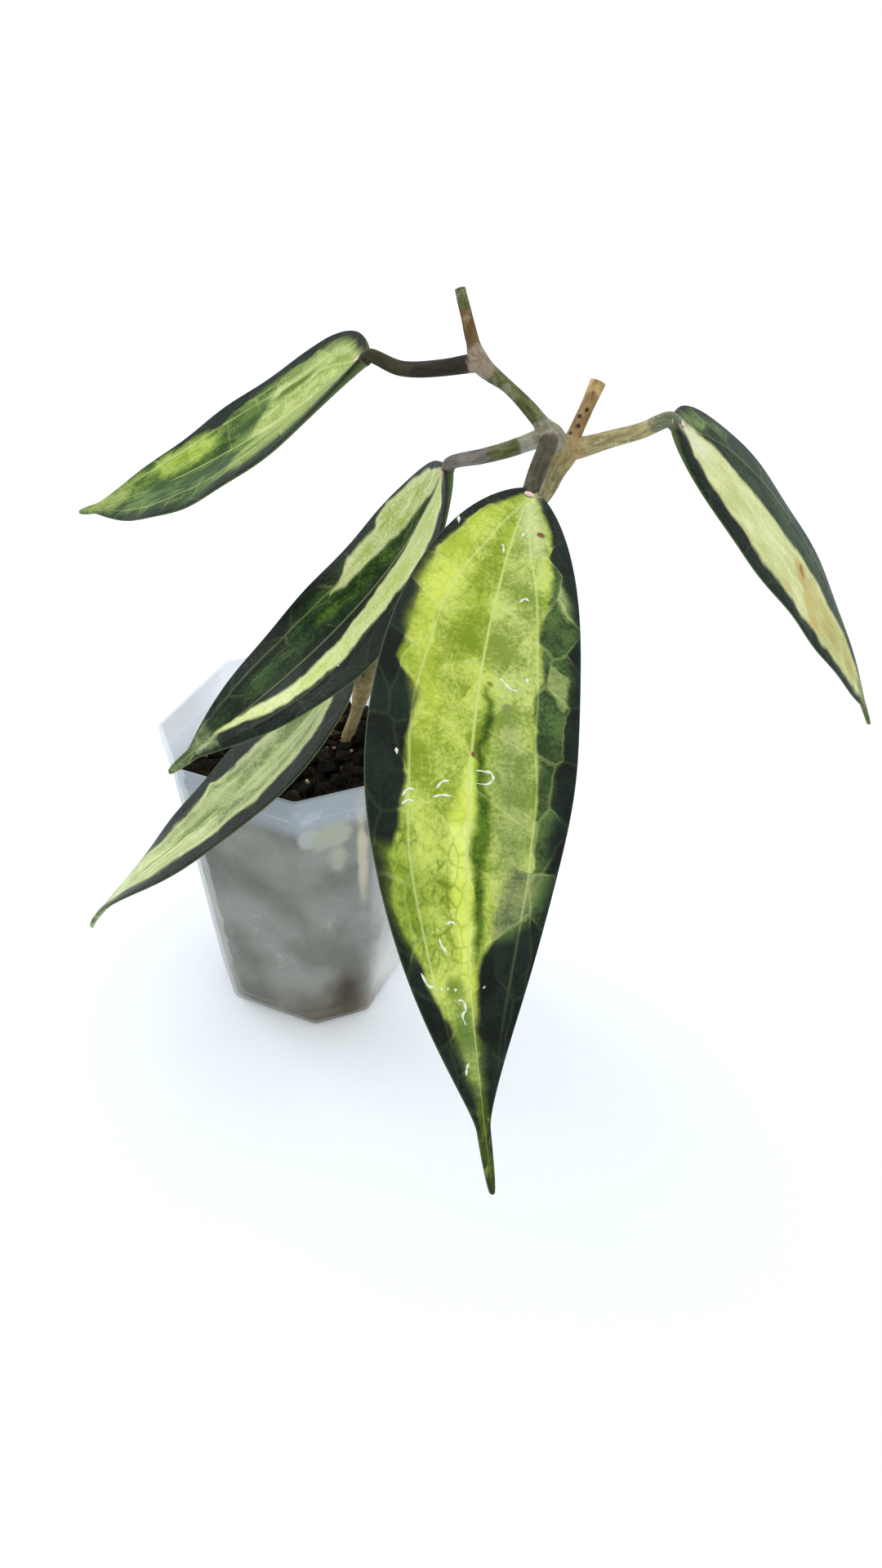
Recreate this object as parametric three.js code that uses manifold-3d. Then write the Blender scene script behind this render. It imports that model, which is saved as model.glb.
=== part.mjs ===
// A variegated hoya macrophylla with five leaves, standing in a clear square pot full of bark mix.
// Millimetres, +Z up. The origin is the middle of the pot's underside.

import * as THREE from 'three';
import { mergeVertices } from 'three/addons/utils/BufferGeometryUtils.js';
import Module from 'manifold-3d';

const wasm = await Module();
wasm.setup();

// Clearance between pieces that touch on the real plant
const gap = 0.3;

// Pot: a tapered square with broad cut-off corners and a band round the rim
const potWidth = 80;
const potHeight = 113;
const footWidth = 62;
const wall = 1.2;
const floorThickness = 1.6;
const cornerShare = 0.23;
const cornerRadius = 2.5;
const rimBand = 9;
const rimStep = 1.3;
const rimSlope = 1;
const rimRounding = 0.6;
const footRounding = 3.5;
const insideRounding = 2;
const drainRadius = 3.5;
const drainRing = 15;
const drainCount = 4;

// Bark mix: its surface lies below the rim and is covered with rows of uneven lumps of bark
const soilTop = 96;
const lumpRows = 8;
const lumpSeed = 3;
const smallestLump = 4.5;
const largestLump = 8.5;
const lumpFlatness = 0.4;
const lumpFlatnessSpread = 0.25;
const lumpTilt = 0.5;
const lumpSink = 0.8;

// Stems: each route is a list of points, with a radius at each point
const mainStem = {
  route: [[8, 15.5, 85], [10.9, 14.6, 98], [14.5, 15.4, 110], [17.8, 15.2, 121], [21.5, 11.5, 128],
    [28, 5.5, 139], [56, -1, 176], [85, -8.5, 212], [88.6, -9.3, 220], [91.5, -9, 226.8]],
  radii: [2.1, 2.1, 2.1, 3.2, 2.2, 1.9, 1.85, 1.9, 2.1, 3.1],
  steps: 36,
};
const oldStub = {
  route: [[91.5, -9, 226.8], [92.4, -5.5, 231.5], [93.6, -1.4, 236.4], [94.7, 2.6, 241]],
  radii: [2.6, 1.9, 1.8, 2],
  steps: 10,
};
const shoot = {
  route: [[91.5, -9, 226.8], [87.8, -12.4, 231.8], [84.6, -12.4, 235.4], [77.2, -13.5, 242.3],
    [69.8, -14.7, 248.1], [66.8, -13.1, 252.9], [64.2, -10.7, 257.8], [61.6, -8.4, 262.9]],
  radii: [2.3, 3.2, 1.9, 1.65, 2.5, 1.6, 1.4, 1.35],
  steps: 32,
};

// Leaf stalks: the last point of each route is where the blade begins
const stalks = {
  lower: { route: [[17.8, 15.2, 121], [18.8, 9.5, 129], [21, 2.5, 137.5]], radius: 1.9 },
  front: { route: [[87.8, -12.4, 231.8], [89.6, -19, 231.6], [90.4, -26, 230.2]], radius: 2.2 },
  right: { route: [[91.5, -9, 226.8], [100.5, -4.4, 229.7], [107.5, -1, 231.7]], radius: 2.1 },
  middle: { route: [[87.8, -12.4, 231.8], [81, -16.8, 229.4], [73, -21, 226.9]], radius: 1.9 },
  upper: { route: [[69.8, -14.7, 248.1], [62.5, -21, 247.9], [54.2, -27, 248.4]], radius: 1.85 },
};
const stalkTaper = [1.25, 1.05, 1, 0.92, 0.9];
const stalkBend = 2;
const stalkSteps = 16;
const stemSides = 10;

// Leaves. Heading turns from +X towards +Y, pitch is the rise above level and roll tips the blade
// to its left, all in degrees. sway is added to the heading along the blade. fold and rim are the
// slopes of the blade's halves at the midrib and at the margin. A greater shoulder makes the base
// less blunt. widest and end are where the blade is widest and where its taper ends, as shares of
// the length. A greater taper draws it in sooner, and tail is how broad its long tip is.
const leaves = {
  lower: { base: [23.9, -6.6, 141.8], length: 135, width: 36.5, heading: -100, sway: -107,
    pitch: [-21, -58], droop: 1.25, roll: [22, -8], fold: 11.5, rim: 1,
    shoulder: 0.5, widest: 0.33, taper: 0.96, end: 0.91, tail: 0.2 },
  front: { base: [91.6, -35.5, 227], length: 165.5, width: 45.4, heading: -82.4, sway: 34,
    pitch: [-9, -61], droop: 1, roll: [-15.5, -22.5], fold: 11, rim: -1,
    shoulder: 0.6, widest: 0.44, taper: 1, end: 0.92, tail: 0.22 },
  right: { base: [115.3, 1, 234.5], length: 119, width: 48.5, heading: 30.5, sway: -4,
    pitch: [-41, -67], droop: 1, roll: [16, 20], fold: 5, rim: -9,
    shoulder: 0.48, widest: 0.3, taper: 0.8, end: 0.93, tail: 0.22 },
  middle: { base: [66.4, -26, 224.5], length: 112, width: 43.5, heading: -150, sway: 45,
    pitch: [-69.5, -8], droop: 1, roll: [-5, -8.5], fold: 10, rim: -2,
    shoulder: 0.48, widest: 0.27, taper: 0.8, end: 0.93, tail: 0.3 },
  upper: { base: [47.1, -31.2, 251.1], length: 131, width: 44.3, heading: 178, sway: -16,
    pitch: [-41, -23], droop: 1, roll: [-16.5, -39], fold: 13.5, rim: 4,
    shoulder: 0.58, widest: 0.17, taper: 0.92, end: 0.93, tail: 0.26 },
};

// What all blades share. The neck, ribs and waves are shares of the half width or of the length
const swayPower = 1.5;
const neckShare = 0.07;
const neckPower = 8;
const tipHalfWidth = 0.4;
const marginThickness = 0.9;
const midThickness = 1.5;
const baseThickness = 2.8;
const baseSwell = 0.03;
const tipThinning = 0.6;
const ribStart = 0.05;
const ribFade = 0.25;
const ribWidth = 0.07;
const ribHeight = 0.3;
const keelHeight = 0.9;
const sideRibStart = 0.2;
const sideRibSpread = 0.6;
const sideRibEase = 0.135;
const sideRibDrift = 0.06;
const sideRibWidth = 0.06;
const sideRibHeight = 0.22;
const waveHeight = 0.7;
const waveCount = 3.5;
const waveOffset = 1.7;
const bladeRows = 26;
const rowSpacing = 1.5;
const pathSteps = 420;

// Colours
const potPlastic = new THREE.MeshStandardMaterial({ color: 0xc9cdd0, roughness: 0.35, metalness: 0 });
const barkMix = new THREE.MeshStandardMaterial({ color: 0x2e2619, roughness: 0.95, metalness: 0 });
const woodyStem = new THREE.MeshStandardMaterial({ color: 0xa08a66, roughness: 0.8, metalness: 0 });
const greenStem = new THREE.MeshStandardMaterial({ color: 0x7d8a5a, roughness: 0.65, metalness: 0 });
const stalkSkin = new THREE.MeshStandardMaterial({ color: 0x75705a, roughness: 0.65, metalness: 0 });
const leafSkin = new THREE.MeshStandardMaterial({ color: 0xa9be5c, roughness: 0.4, metalness: 0 });

// Geometry from a list of points and a list of triangles
function meshGeometry(points, triangles) {
  const geometry = new THREE.BufferGeometry();
  const flat = points.flatMap((p) => [p.x, p.y, p.z]);
  geometry.setAttribute('position', new THREE.Float32BufferAttribute(flat, 3));
  geometry.setIndex(triangles.flat());
  return geometry;
}

// Closed body from rings with equal counts, with a fan over the first and the last ring
function loft(rings) {
  const count = rings[0].length;
  const points = rings.flat();
  const triangles = [];
  for (let r = 0; r < rings.length - 1; r += 1) {
    for (let i = 0; i < count; i += 1) {
      const a = r * count + i;
      const b = r * count + ((i + 1) % count);
      triangles.push([a, b, b + count], [a, b + count, a + count]);
    }
  }
  const middle = (ring) => ring.reduce((sum, p) => sum.add(p), new THREE.Vector3()).divideScalar(count);
  const last = (rings.length - 1) * count;
  const start = points.push(middle(rings[0])) - 1;
  const end = points.push(middle(rings.at(-1))) - 1;
  for (let i = 0; i < count; i += 1) {
    const next = (i + 1) % count;
    triangles.push([start, next, i], [end, last + i, last + next]);
  }
  return meshGeometry(points, triangles);
}

function toSolid(geometry) {
  geometry.deleteAttribute('normal');
  geometry.deleteAttribute('uv');
  const merged = mergeVertices(geometry, 1e-4);
  return new wasm.Manifold(new wasm.Mesh({
    numProp: 3,
    vertProperties: Float32Array.from(merged.attributes.position.array),
    triVerts: Uint32Array.from(merged.index.array),
  }));
}

function toGeometry(solid) {
  const mesh = solid.getMesh();
  const geometry = new THREE.BufferGeometry();
  geometry.setAttribute('position', new THREE.BufferAttribute(mesh.vertProperties, 3));
  geometry.setIndex(new THREE.BufferAttribute(mesh.triVerts, 1));
  return geometry;
}

// Seeded random numbers between 0 and 1
function seededRandom(seed) {
  let state = seed;
  return () => {
    state = (state * 1664525 + 1013904223) % 4294967296;
    return state / 4294967296;
  };
}

// Square with cut-off corners, each of its eight corners rounded by three points
function potRing(width, z) {
  const half = width / 2;
  const flat = half * (1 - 2 * cornerShare);
  const corners = [];
  for (let side = 0; side < 4; side += 1) {
    for (const along of [-flat, flat]) {
      corners.push(new THREE.Vector2(along, -half).rotateAround(new THREE.Vector2(), side * Math.PI / 2));
    }
  }
  const reach = cornerRadius * Math.tan(Math.PI / 8);
  const ring = [];
  corners.forEach((corner, i) => {
    const before = corners[(i + 7) % 8].clone().sub(corner).setLength(reach);
    const after = corners[(i + 1) % 8].clone().sub(corner).setLength(reach);
    const bulge = before.clone().add(after).multiplyScalar(0.25);
    for (const shift of [before, bulge, after]) {
      ring.push(new THREE.Vector3(corner.x + shift.x, corner.y + shift.y, z));
    }
  });
  return ring;
}

// Outer width of the pot's tapered wall at a height
function wallWidth(z) {
  return footWidth + (potWidth - 2 * rimStep - footWidth) * z / (potHeight - rimBand);
}

function potGeometry() {
  const bandFoot = potHeight - rimBand;
  const roundingTop = floorThickness + insideRounding;
  const rings = [];
  for (const turn of [0, 0.33, 0.66, 1]) {
    const angle = turn * Math.PI / 2;
    const inset = footRounding * (1 - Math.sin(angle));
    const z = footRounding * (1 - Math.cos(angle));
    rings.push(potRing(wallWidth(z) - 2 * inset, z));
  }
  rings.push(
    potRing(wallWidth(bandFoot), bandFoot),
    potRing(potWidth - rimRounding, bandFoot + rimSlope),
    potRing(potWidth, potHeight - rimRounding),
    potRing(potWidth - 2 * rimRounding, potHeight),
    potRing(potWidth - 2 * wall, potHeight),
    potRing(wallWidth(bandFoot) - 2 * wall, bandFoot - rimSlope),
    potRing(wallWidth(roundingTop) - 2 * wall, roundingTop),
    potRing(wallWidth(floorThickness) - 2 * wall - 2 * insideRounding, floorThickness),
  );
  let pot = toSolid(loft(rings));
  for (let i = 0; i < drainCount; i += 1) {
    const angle = (i + 0.5) * 2 * Math.PI / drainCount;
    const hole = new THREE.CylinderGeometry(drainRadius, drainRadius, 4 * floorThickness, 20);
    hole.rotateX(Math.PI / 2);
    hole.translate(drainRing * Math.cos(angle), drainRing * Math.sin(angle), 0);
    pot = pot.subtract(toSolid(hole));
  }
  return toGeometry(pot);
}

// Block that just clears the inside of the pot, up to a height
function insideBlock(top) {
  const inside = (z) => wallWidth(z) - 2 * wall - 2 * gap;
  const low = floorThickness + gap;
  const rounding = insideRounding + gap;
  return toSolid(loft([
    potRing(inside(low) - 2 * rounding, low),
    potRing(inside(low + rounding), low + rounding),
    potRing(inside(top), top),
  ]));
}

// Uneven lump of bark at a place: a squashed and tilted twenty-sided ball, half sunk in the mix
function barkLump(x, y, random) {
  const size = smallestLump + (largestLump - smallestLump) * random() ** 2;
  const place = new THREE.Vector3(x, y, soilTop - lumpSink);
  const turn = new THREE.Euler(lumpTilt * random(), lumpTilt * random(), 2 * Math.PI * random());
  const flatness = lumpFlatness + lumpFlatnessSpread * random();
  const squash = new THREE.Vector3(1, Math.sqrt(flatness), flatness);
  const matrix = new THREE.Matrix4().compose(place, new THREE.Quaternion().setFromEuler(turn), squash);
  return toSolid(new THREE.IcosahedronGeometry(size, 0)).transform(matrix.elements);
}

function soilGeometry(stemHole) {
  const random = seededRandom(lumpSeed);
  const spacing = wallWidth(soilTop) / lumpRows;
  let soil = insideBlock(soilTop);
  for (let row = 0; row < lumpRows; row += 1) {
    for (let place = 0; place < lumpRows; place += 1) {
      const x = (place - lumpRows / 2 + random()) * spacing;
      const y = (row - lumpRows / 2 + random()) * spacing;
      soil = soil.add(barkLump(x, y, random));
    }
  }
  return toGeometry(soil.intersect(insideBlock(potHeight - rimBand - rimStep)).subtract(stemHole));
}

// Tube along a route, its radius eased between the values given at the route's points
function tube(route, radii, steps, extra = 0) {
  const curve = new THREE.CatmullRomCurve3(route.map((p) => new THREE.Vector3(...p)), false, 'centripetal');
  const rings = [];
  let normal = null;
  for (let i = 0; i <= steps; i += 1) {
    const t = i / steps;
    const tangent = curve.getTangent(t);
    normal = normal ?? new THREE.Vector3(-tangent.z, 0, tangent.x);
    normal = normal.addScaledVector(tangent, -normal.dot(tangent)).normalize();
    const binormal = new THREE.Vector3().crossVectors(tangent, normal);
    const place = t * (radii.length - 1);
    const low = Math.min(Math.floor(place), radii.length - 2);
    const ease = THREE.MathUtils.smoothstep(place - low, 0, 1);
    const radius = THREE.MathUtils.lerp(radii[low], radii[low + 1], ease) + extra;
    const centre = curve.getPoint(t);
    const ring = [];
    for (let k = 0; k < stemSides; k += 1) {
      const angle = k / stemSides * 2 * Math.PI;
      ring.push(centre.clone()
        .addScaledVector(normal, radius * Math.cos(angle))
        .addScaledVector(binormal, radius * Math.sin(angle)));
    }
    rings.push(ring);
    normal = normal.clone();
  }
  return toSolid(loft(rings));
}

// The woody stem with its old cut stub, or the green shoot, made thicker all round by extra
function stemSolid(stem, extra = 0) {
  const solid = tube(stem.route, stem.radii, stem.steps, extra);
  return stem === mainStem ? solid.add(tube(oldStub.route, oldStub.radii, oldStub.steps, extra)) : solid;
}

// Directions of a blade at a share t of its length: along it, to its left and out of its upper face
function bladeFrame(leaf, t) {
  const degrees = Math.PI / 180;
  const pitch = THREE.MathUtils.lerp(...leaf.pitch, t ** leaf.droop) * degrees;
  const heading = (leaf.heading + leaf.sway * t ** swayPower) * degrees;
  const roll = THREE.MathUtils.lerp(...leaf.roll, t) * degrees;
  const along = new THREE.Vector3(
    Math.cos(pitch) * Math.cos(heading),
    Math.cos(pitch) * Math.sin(heading),
    Math.sin(pitch),
  );
  const level = new THREE.Vector3(-Math.sin(heading), Math.cos(heading), 0);
  const upright = new THREE.Vector3().crossVectors(along, level);
  const left = level.clone().multiplyScalar(Math.cos(roll)).addScaledVector(upright, Math.sin(roll));
  const up = upright.multiplyScalar(Math.cos(roll)).addScaledVector(level, -Math.sin(roll));
  return { along, left, up };
}

// Points along the midrib at the given shares of its length
function midribPoints(leaf, shares) {
  const step = 1 / pathSteps;
  const path = [new THREE.Vector3(...leaf.base)];
  for (let i = 0; i < pathSteps; i += 1) {
    const { along } = bladeFrame(leaf, (i + 0.5) * step);
    path.push(path[i].clone().addScaledVector(along, leaf.length * step));
  }
  return shares.map((t) => {
    const place = Math.min(t * pathSteps, pathSteps - 1e-9);
    const low = Math.floor(place);
    return path[low].clone().lerp(path[low + 1], place - low);
  });
}

// Half the blade's width at a share t of its length
function halfWidth(leaf, t) {
  const rise = (1 - (1 - Math.min(t / leaf.widest, 1)) ** 2) ** leaf.shoulder;
  const past = THREE.MathUtils.clamp((t - leaf.widest) / (leaf.end - leaf.widest), 0, 1);
  const taper = Math.max(Math.cos(past * Math.PI / 2), 0) ** leaf.taper;
  const tip = leaf.tail * t * Math.sqrt(1 - t);
  const neck = neckShare * (1 - t) ** neckPower;
  return leaf.width / 2 * Math.hypot(rise * taper, tip, neck) + tipHalfWidth * t;
}

// Where the side veins lie, as a share of the half width
function sideRibPlace(t) {
  const spread = sideRibSpread * (1 - Math.exp(-t / sideRibEase));
  return Math.max(sideRibStart, spread + sideRibDrift * t);
}

// Height of a rounded ridge at a distance from its crest
function ridge(distance, width, height) {
  return height * Math.max(0, 1 - Math.abs(distance) / width);
}

// One point of the blade: t runs along it, u from its right margin to its left, side is 1 or -1
function bladePoint(leaf, centre, t, u, side) {
  const { left, up } = bladeFrame(leaf, t);
  const half = halfWidth(leaf, t);
  const out = Math.abs(u);
  const fold = THREE.MathUtils.degToRad(leaf.fold);
  const bend = THREE.MathUtils.degToRad(leaf.rim - leaf.fold);
  const slope = fold + bend * out;
  const across = half * (Math.sin(slope) - Math.sin(fold)) / bend * Math.sign(u);
  const rise = half * (Math.cos(fold) - Math.cos(slope)) / bend;
  const wave = waveHeight * out ** 3 * Math.sin(Math.PI * t)
    * Math.sin(2 * Math.PI * waveCount * t + waveOffset * Math.sign(u) + leaf.length);
  const ribs = Math.min(1, t / ribStart) * Math.min(1, (1 - t) / ribFade);
  const sideRib = ridge(out - sideRibPlace(t), sideRibWidth, sideRibHeight) * ribs;
  const midRib = ridge(out, ribWidth, side > 0 ? ribHeight : keelHeight) * ribs;
  const swell = (baseThickness - midThickness) * Math.exp(-t / baseSwell);
  const middle = (midThickness - marginThickness) * (1 - out ** 1.5) * (1 - tipThinning * t);
  const thickness = marginThickness + middle + swell;
  const lift = side * (thickness / 2 + midRib + sideRib);
  return centre.clone()
    .addScaledVector(left, across - lift * Math.sin(slope) * Math.sign(u))
    .addScaledVector(up, rise + wave + lift * Math.cos(slope));
}

// Places across the blade, from the right margin to the left, with the veins on points of their own
function bladeColumns(t) {
  const rib = sideRibPlace(t);
  const inner = rib - sideRibWidth;
  const outer = rib + sideRibWidth;
  const half = [ribWidth, (ribWidth + inner) / 2, inner, rib, outer, (outer + 1) / 2, 1];
  return [...half.map((u) => -u).reverse(), 0, ...half];
}

function bladeGeometry(leaf) {
  const shares = Array.from({ length: bladeRows + 1 }, (_, i) => (i / bladeRows) ** rowSpacing);
  const centres = midribPoints(leaf, shares);
  const rings = shares.map((t, i) => {
    const columns = bladeColumns(t);
    const top = columns.map((u) => bladePoint(leaf, centres[i], t, u, 1));
    const under = columns.map((u) => bladePoint(leaf, centres[i], t, u, -1));
    return { top, under };
  });
  const count = rings[0].top.length;
  const points = [...rings.flatMap((r) => r.top), ...rings.flatMap((r) => r.under)];
  const shift = rings.length * count;
  const triangles = [];
  for (let r = 0; r < rings.length - 1; r += 1) {
    for (let c = 0; c < count - 1; c += 1) {
      const a = r * count + c;
      const b = a + 1;
      const d = a + count;
      const e = d + 1;
      triangles.push([a, d, b], [b, d, e]);
      triangles.push([a + shift, b + shift, d + shift], [b + shift, e + shift, d + shift]);
    }
    const right = r * count;
    const left = right + count - 1;
    triangles.push([right, right + shift, right + count]);
    triangles.push([right + count, right + shift, right + count + shift]);
    triangles.push([left, left + count, left + shift]);
    triangles.push([left + count, left + count + shift, left + shift]);
  }
  const last = (rings.length - 1) * count;
  for (let c = 0; c < count - 1; c += 1) {
    triangles.push([c, c + 1, c + shift], [c + 1, c + 1 + shift, c + shift]);
    const e = last + c;
    triangles.push([e, e + shift, e + 1], [e + 1, e + shift, e + 1 + shift]);
  }
  return meshGeometry(points, triangles);
}

// Leaf stalk that stops just short of its blade, made thicker all round by extra
function stalkSolid(name, extra = 0) {
  const { route, radius } = stalks[name];
  const leaf = leaves[name];
  const { along } = bladeFrame(leaf, 0);
  const end = new THREE.Vector3(...leaf.base).addScaledVector(along, -gap);
  const before = end.clone().addScaledVector(along, -stalkBend);
  const points = [...route, before.toArray(), end.toArray()];
  return tube(points, stalkTaper.map((share) => radius * share), stalkSteps, extra);
}

const plant = new THREE.Group();

function addPiece(name, geometry, material) {
  const mesh = new THREE.Mesh(geometry, material.clone());
  mesh.name = name;
  plant.add(mesh);
}

const stemRoom = stemSolid(mainStem, gap);
addPiece('pot', potGeometry(), potPlastic);
addPiece('soil', soilGeometry(stemRoom), barkMix);
addPiece('main_stem', toGeometry(stemSolid(mainStem)), woodyStem);
addPiece('shoot', toGeometry(stemSolid(shoot).subtract(stemRoom)), greenStem);

// Each stalk is cut clear of the stems and of the stalks before it
let taken = stemRoom.add(stemSolid(shoot, gap));
for (const name of Object.keys(leaves)) {
  addPiece(`petiole_${name}`, toGeometry(stalkSolid(name).subtract(taken)), stalkSkin);
  addPiece(`leaf_${name}`, bladeGeometry(leaves[name]), leafSkin);
  taken = taken.add(stalkSolid(name, gap));
}

export default plant;
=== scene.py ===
# %% [markdown]
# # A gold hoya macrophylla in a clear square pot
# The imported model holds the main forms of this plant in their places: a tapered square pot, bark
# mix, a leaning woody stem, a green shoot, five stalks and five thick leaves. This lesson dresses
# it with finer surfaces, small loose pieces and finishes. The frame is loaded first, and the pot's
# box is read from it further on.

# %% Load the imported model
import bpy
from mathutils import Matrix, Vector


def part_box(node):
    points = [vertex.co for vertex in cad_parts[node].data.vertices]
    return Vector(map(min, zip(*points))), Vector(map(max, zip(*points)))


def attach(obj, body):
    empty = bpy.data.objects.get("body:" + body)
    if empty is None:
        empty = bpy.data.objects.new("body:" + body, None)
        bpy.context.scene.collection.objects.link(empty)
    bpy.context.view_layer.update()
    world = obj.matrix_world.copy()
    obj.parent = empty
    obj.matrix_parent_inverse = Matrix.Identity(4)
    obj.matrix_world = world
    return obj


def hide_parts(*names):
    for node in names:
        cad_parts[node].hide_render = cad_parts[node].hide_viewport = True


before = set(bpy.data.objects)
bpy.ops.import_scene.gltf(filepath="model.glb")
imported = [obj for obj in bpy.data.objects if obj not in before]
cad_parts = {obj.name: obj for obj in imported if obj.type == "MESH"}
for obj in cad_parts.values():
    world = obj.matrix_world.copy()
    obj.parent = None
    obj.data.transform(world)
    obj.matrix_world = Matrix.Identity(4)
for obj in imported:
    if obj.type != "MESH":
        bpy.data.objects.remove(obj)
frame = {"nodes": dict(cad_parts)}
print("nodes:", ", ".join(frame["nodes"]))

import bmesh
import bpy
import numpy as np
from mathutils import Vector

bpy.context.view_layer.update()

# %% [markdown]
# ## Surfaces from arrays
# Leaves, stems and the pot are all surfaces of two parameters: one runs along the piece and one
# runs round or across it. Working them out as whole numpy arrays is quick and keeps each formula
# in one place. A ring of points at every step along the piece, joined to the next ring by quads
# and closed by a fan at each end, gives a body with no gaps and no loose faces.

# %% Join rings of points into one closed body
def ring_quads(rows, columns):
    """Quads from each ring to the next one, and from the last ring back to the first."""
    here = np.arange(rows * columns).reshape(rows, columns)
    beside = np.roll(here, -1, axis=1)
    corners = [here, beside, np.roll(beside, -1, axis=0), np.roll(here, -1, axis=0)]
    return np.stack(corners, axis=-1).reshape(-1, 4)


def loft_faces(rows, columns):
    """Quads between neighbouring rings, and a fan of triangles over the first and last ring."""
    first = np.arange(columns)
    last = first + (rows - 1) * columns
    pole = np.full(columns, rows * columns)
    fans = np.concatenate([
        np.stack([pole, np.roll(first, -1), first], axis=-1),
        np.stack([pole + 1, last, np.roll(last, -1)], axis=-1),
    ])
    return ring_quads(rows, columns)[:-columns], fans


def with_poles(rings):
    """All points of the rings in one list, then the middle of the first and of the last ring."""
    ends = np.stack([rings[0].mean(axis=0), rings[-1].mean(axis=0)])
    return np.concatenate([rings.reshape(-1, rings.shape[-1]), ends])


print("a tube of 3 rings of 4 points has", sum(map(len, loft_faces(3, 4))), "faces")

# %% Put a surface into a mesh that rides on the plant
mm = 0.001
no_quads = np.zeros((0, 4), dtype=int)
no_triangles = np.zeros((0, 3), dtype=int)


def enclosed_volume(points, quads, triangles):
    """Sum of the pyramids from the origin to every triangle; it is negative inside out."""
    corners = np.concatenate([triangles, quads[:, :3], quads[:, [0, 2, 3]]])
    a, b, c = (points[corners[:, k]] for k in range(3))
    return np.einsum("ij,ij->i", a, np.cross(b, c)).sum() / 6


def make_piece(name, slot, points, quads=no_quads, triangles=no_triangles, values=None,
               smooth=True):
    """Mesh object from points in millimetres, facing outwards, with its values as attributes."""
    if enclosed_volume(points, quads, triangles) < 0:
        quads, triangles = quads[:, ::-1], triangles[:, ::-1]
    mesh = bpy.data.meshes.new(name)
    mesh.from_pydata((points * mm).tolist(), [], quads.tolist() + triangles.tolist())
    for key, numbers in (values or {}).items():
        kind, field = ("FLOAT_VECTOR", "vector") if numbers.ndim == 2 else ("FLOAT", "value")
        attribute = mesh.attributes.new(key, kind, "POINT")
        attribute.data.foreach_set(field, np.ascontiguousarray(numbers, dtype=np.float32).ravel())
    mesh.polygons.foreach_set("use_smooth", np.full(len(mesh.polygons), smooth))
    piece = bpy.data.objects.new(name, mesh)
    bpy.context.scene.collection.objects.link(piece)
    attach(piece, "root")
    print(name, len(mesh.vertices), "points", len(mesh.polygons), "faces")
    return piece


# %% [markdown]
# ## Camera
# The photograph looks down on the plant from in front and a little to the right, from close by,
# so the front leaf looks much larger than the pot behind it. The distance matters as much as the
# angle: the lens and the place below give the same crowding of near and far parts.

# %% Place the camera
camera_place = (0.1886, -0.3051, 0.363)
camera_azimuth = 24
camera_pitch = 38
lens_mm = 30
sensor_mm = 36

camera = bpy.data.objects.new("camera", bpy.data.cameras.new("camera"))
camera.data.lens = lens_mm
camera.data.sensor_width = sensor_mm
camera.location = camera_place
camera.rotation_euler = np.radians([90 - camera_pitch, 0, camera_azimuth])
bpy.context.scene.collection.objects.link(camera)
bpy.context.scene.camera = camera
print("camera", round(float(np.linalg.norm(camera_place)), 3), "m from the pot's foot")

# %% [markdown]
# ## Shader maths as plain sums
# A finish such as a variegated leaf needs many small sums: how far a point is from the margin,
# which side of a vein it lies on, how blotchy the tissue is there. Wired by hand they would fill
# pages. Here a node's output is wrapped so that ordinary Python operators add the Math nodes, and
# one method makes every other node.

# %% Wrap a node's output so that sums add Math nodes
class Value:
    """An output socket of a node, or a sum of such sockets."""

    def __init__(self, finish, socket):
        self.finish = finish
        self.socket = socket

    def maths(self, operation, *terms):
        """A Math node on some terms."""
        inputs = dict(enumerate(terms))
        return self.finish.add("ShaderNodeMath", {"operation": operation}, inputs)

    def out(self, name):
        """Another output of the same node."""
        return Value(self.finish, self.socket.node.outputs[name])

    def least(self, other):
        return self.maths("MINIMUM", self, other)

    def most(self, other):
        return self.maths("MAXIMUM", self, other)

    def __add__(self, other):
        return self.maths("ADD", self, other)

    def __sub__(self, other):
        return self.maths("SUBTRACT", self, other)

    def __rsub__(self, other):
        return self.maths("SUBTRACT", other, self)

    def __mul__(self, other):
        return self.maths("MULTIPLY", self, other)

    def __truediv__(self, other):
        return self.maths("DIVIDE", self, other)

    def __rtruediv__(self, other):
        return self.maths("DIVIDE", other, self)

    def __abs__(self):
        return self.maths("ABSOLUTE", self)

    __radd__ = __add__
    __rmul__ = __mul__


# %% Turn a colour as seen on screen into a colour for a node
light_share = 0.88


def as_colour(colour):
    """A linked colour as it is, or a colour of 0 to 255 as it looks on screen in this light: the
    screen's curve is undone, and the share leaves room for what the light adds."""
    if isinstance(colour, Value):
        return colour
    share = np.array(colour) / 255
    light = np.where(share < 0.04045, share / 12.92, ((share + 0.055) / 1.055) ** 2.4)
    return (*(light * light_share).tolist(), 1.0)


print("middle grey in this light:", round(as_colour((128, 128, 128))[0], 3))

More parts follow.
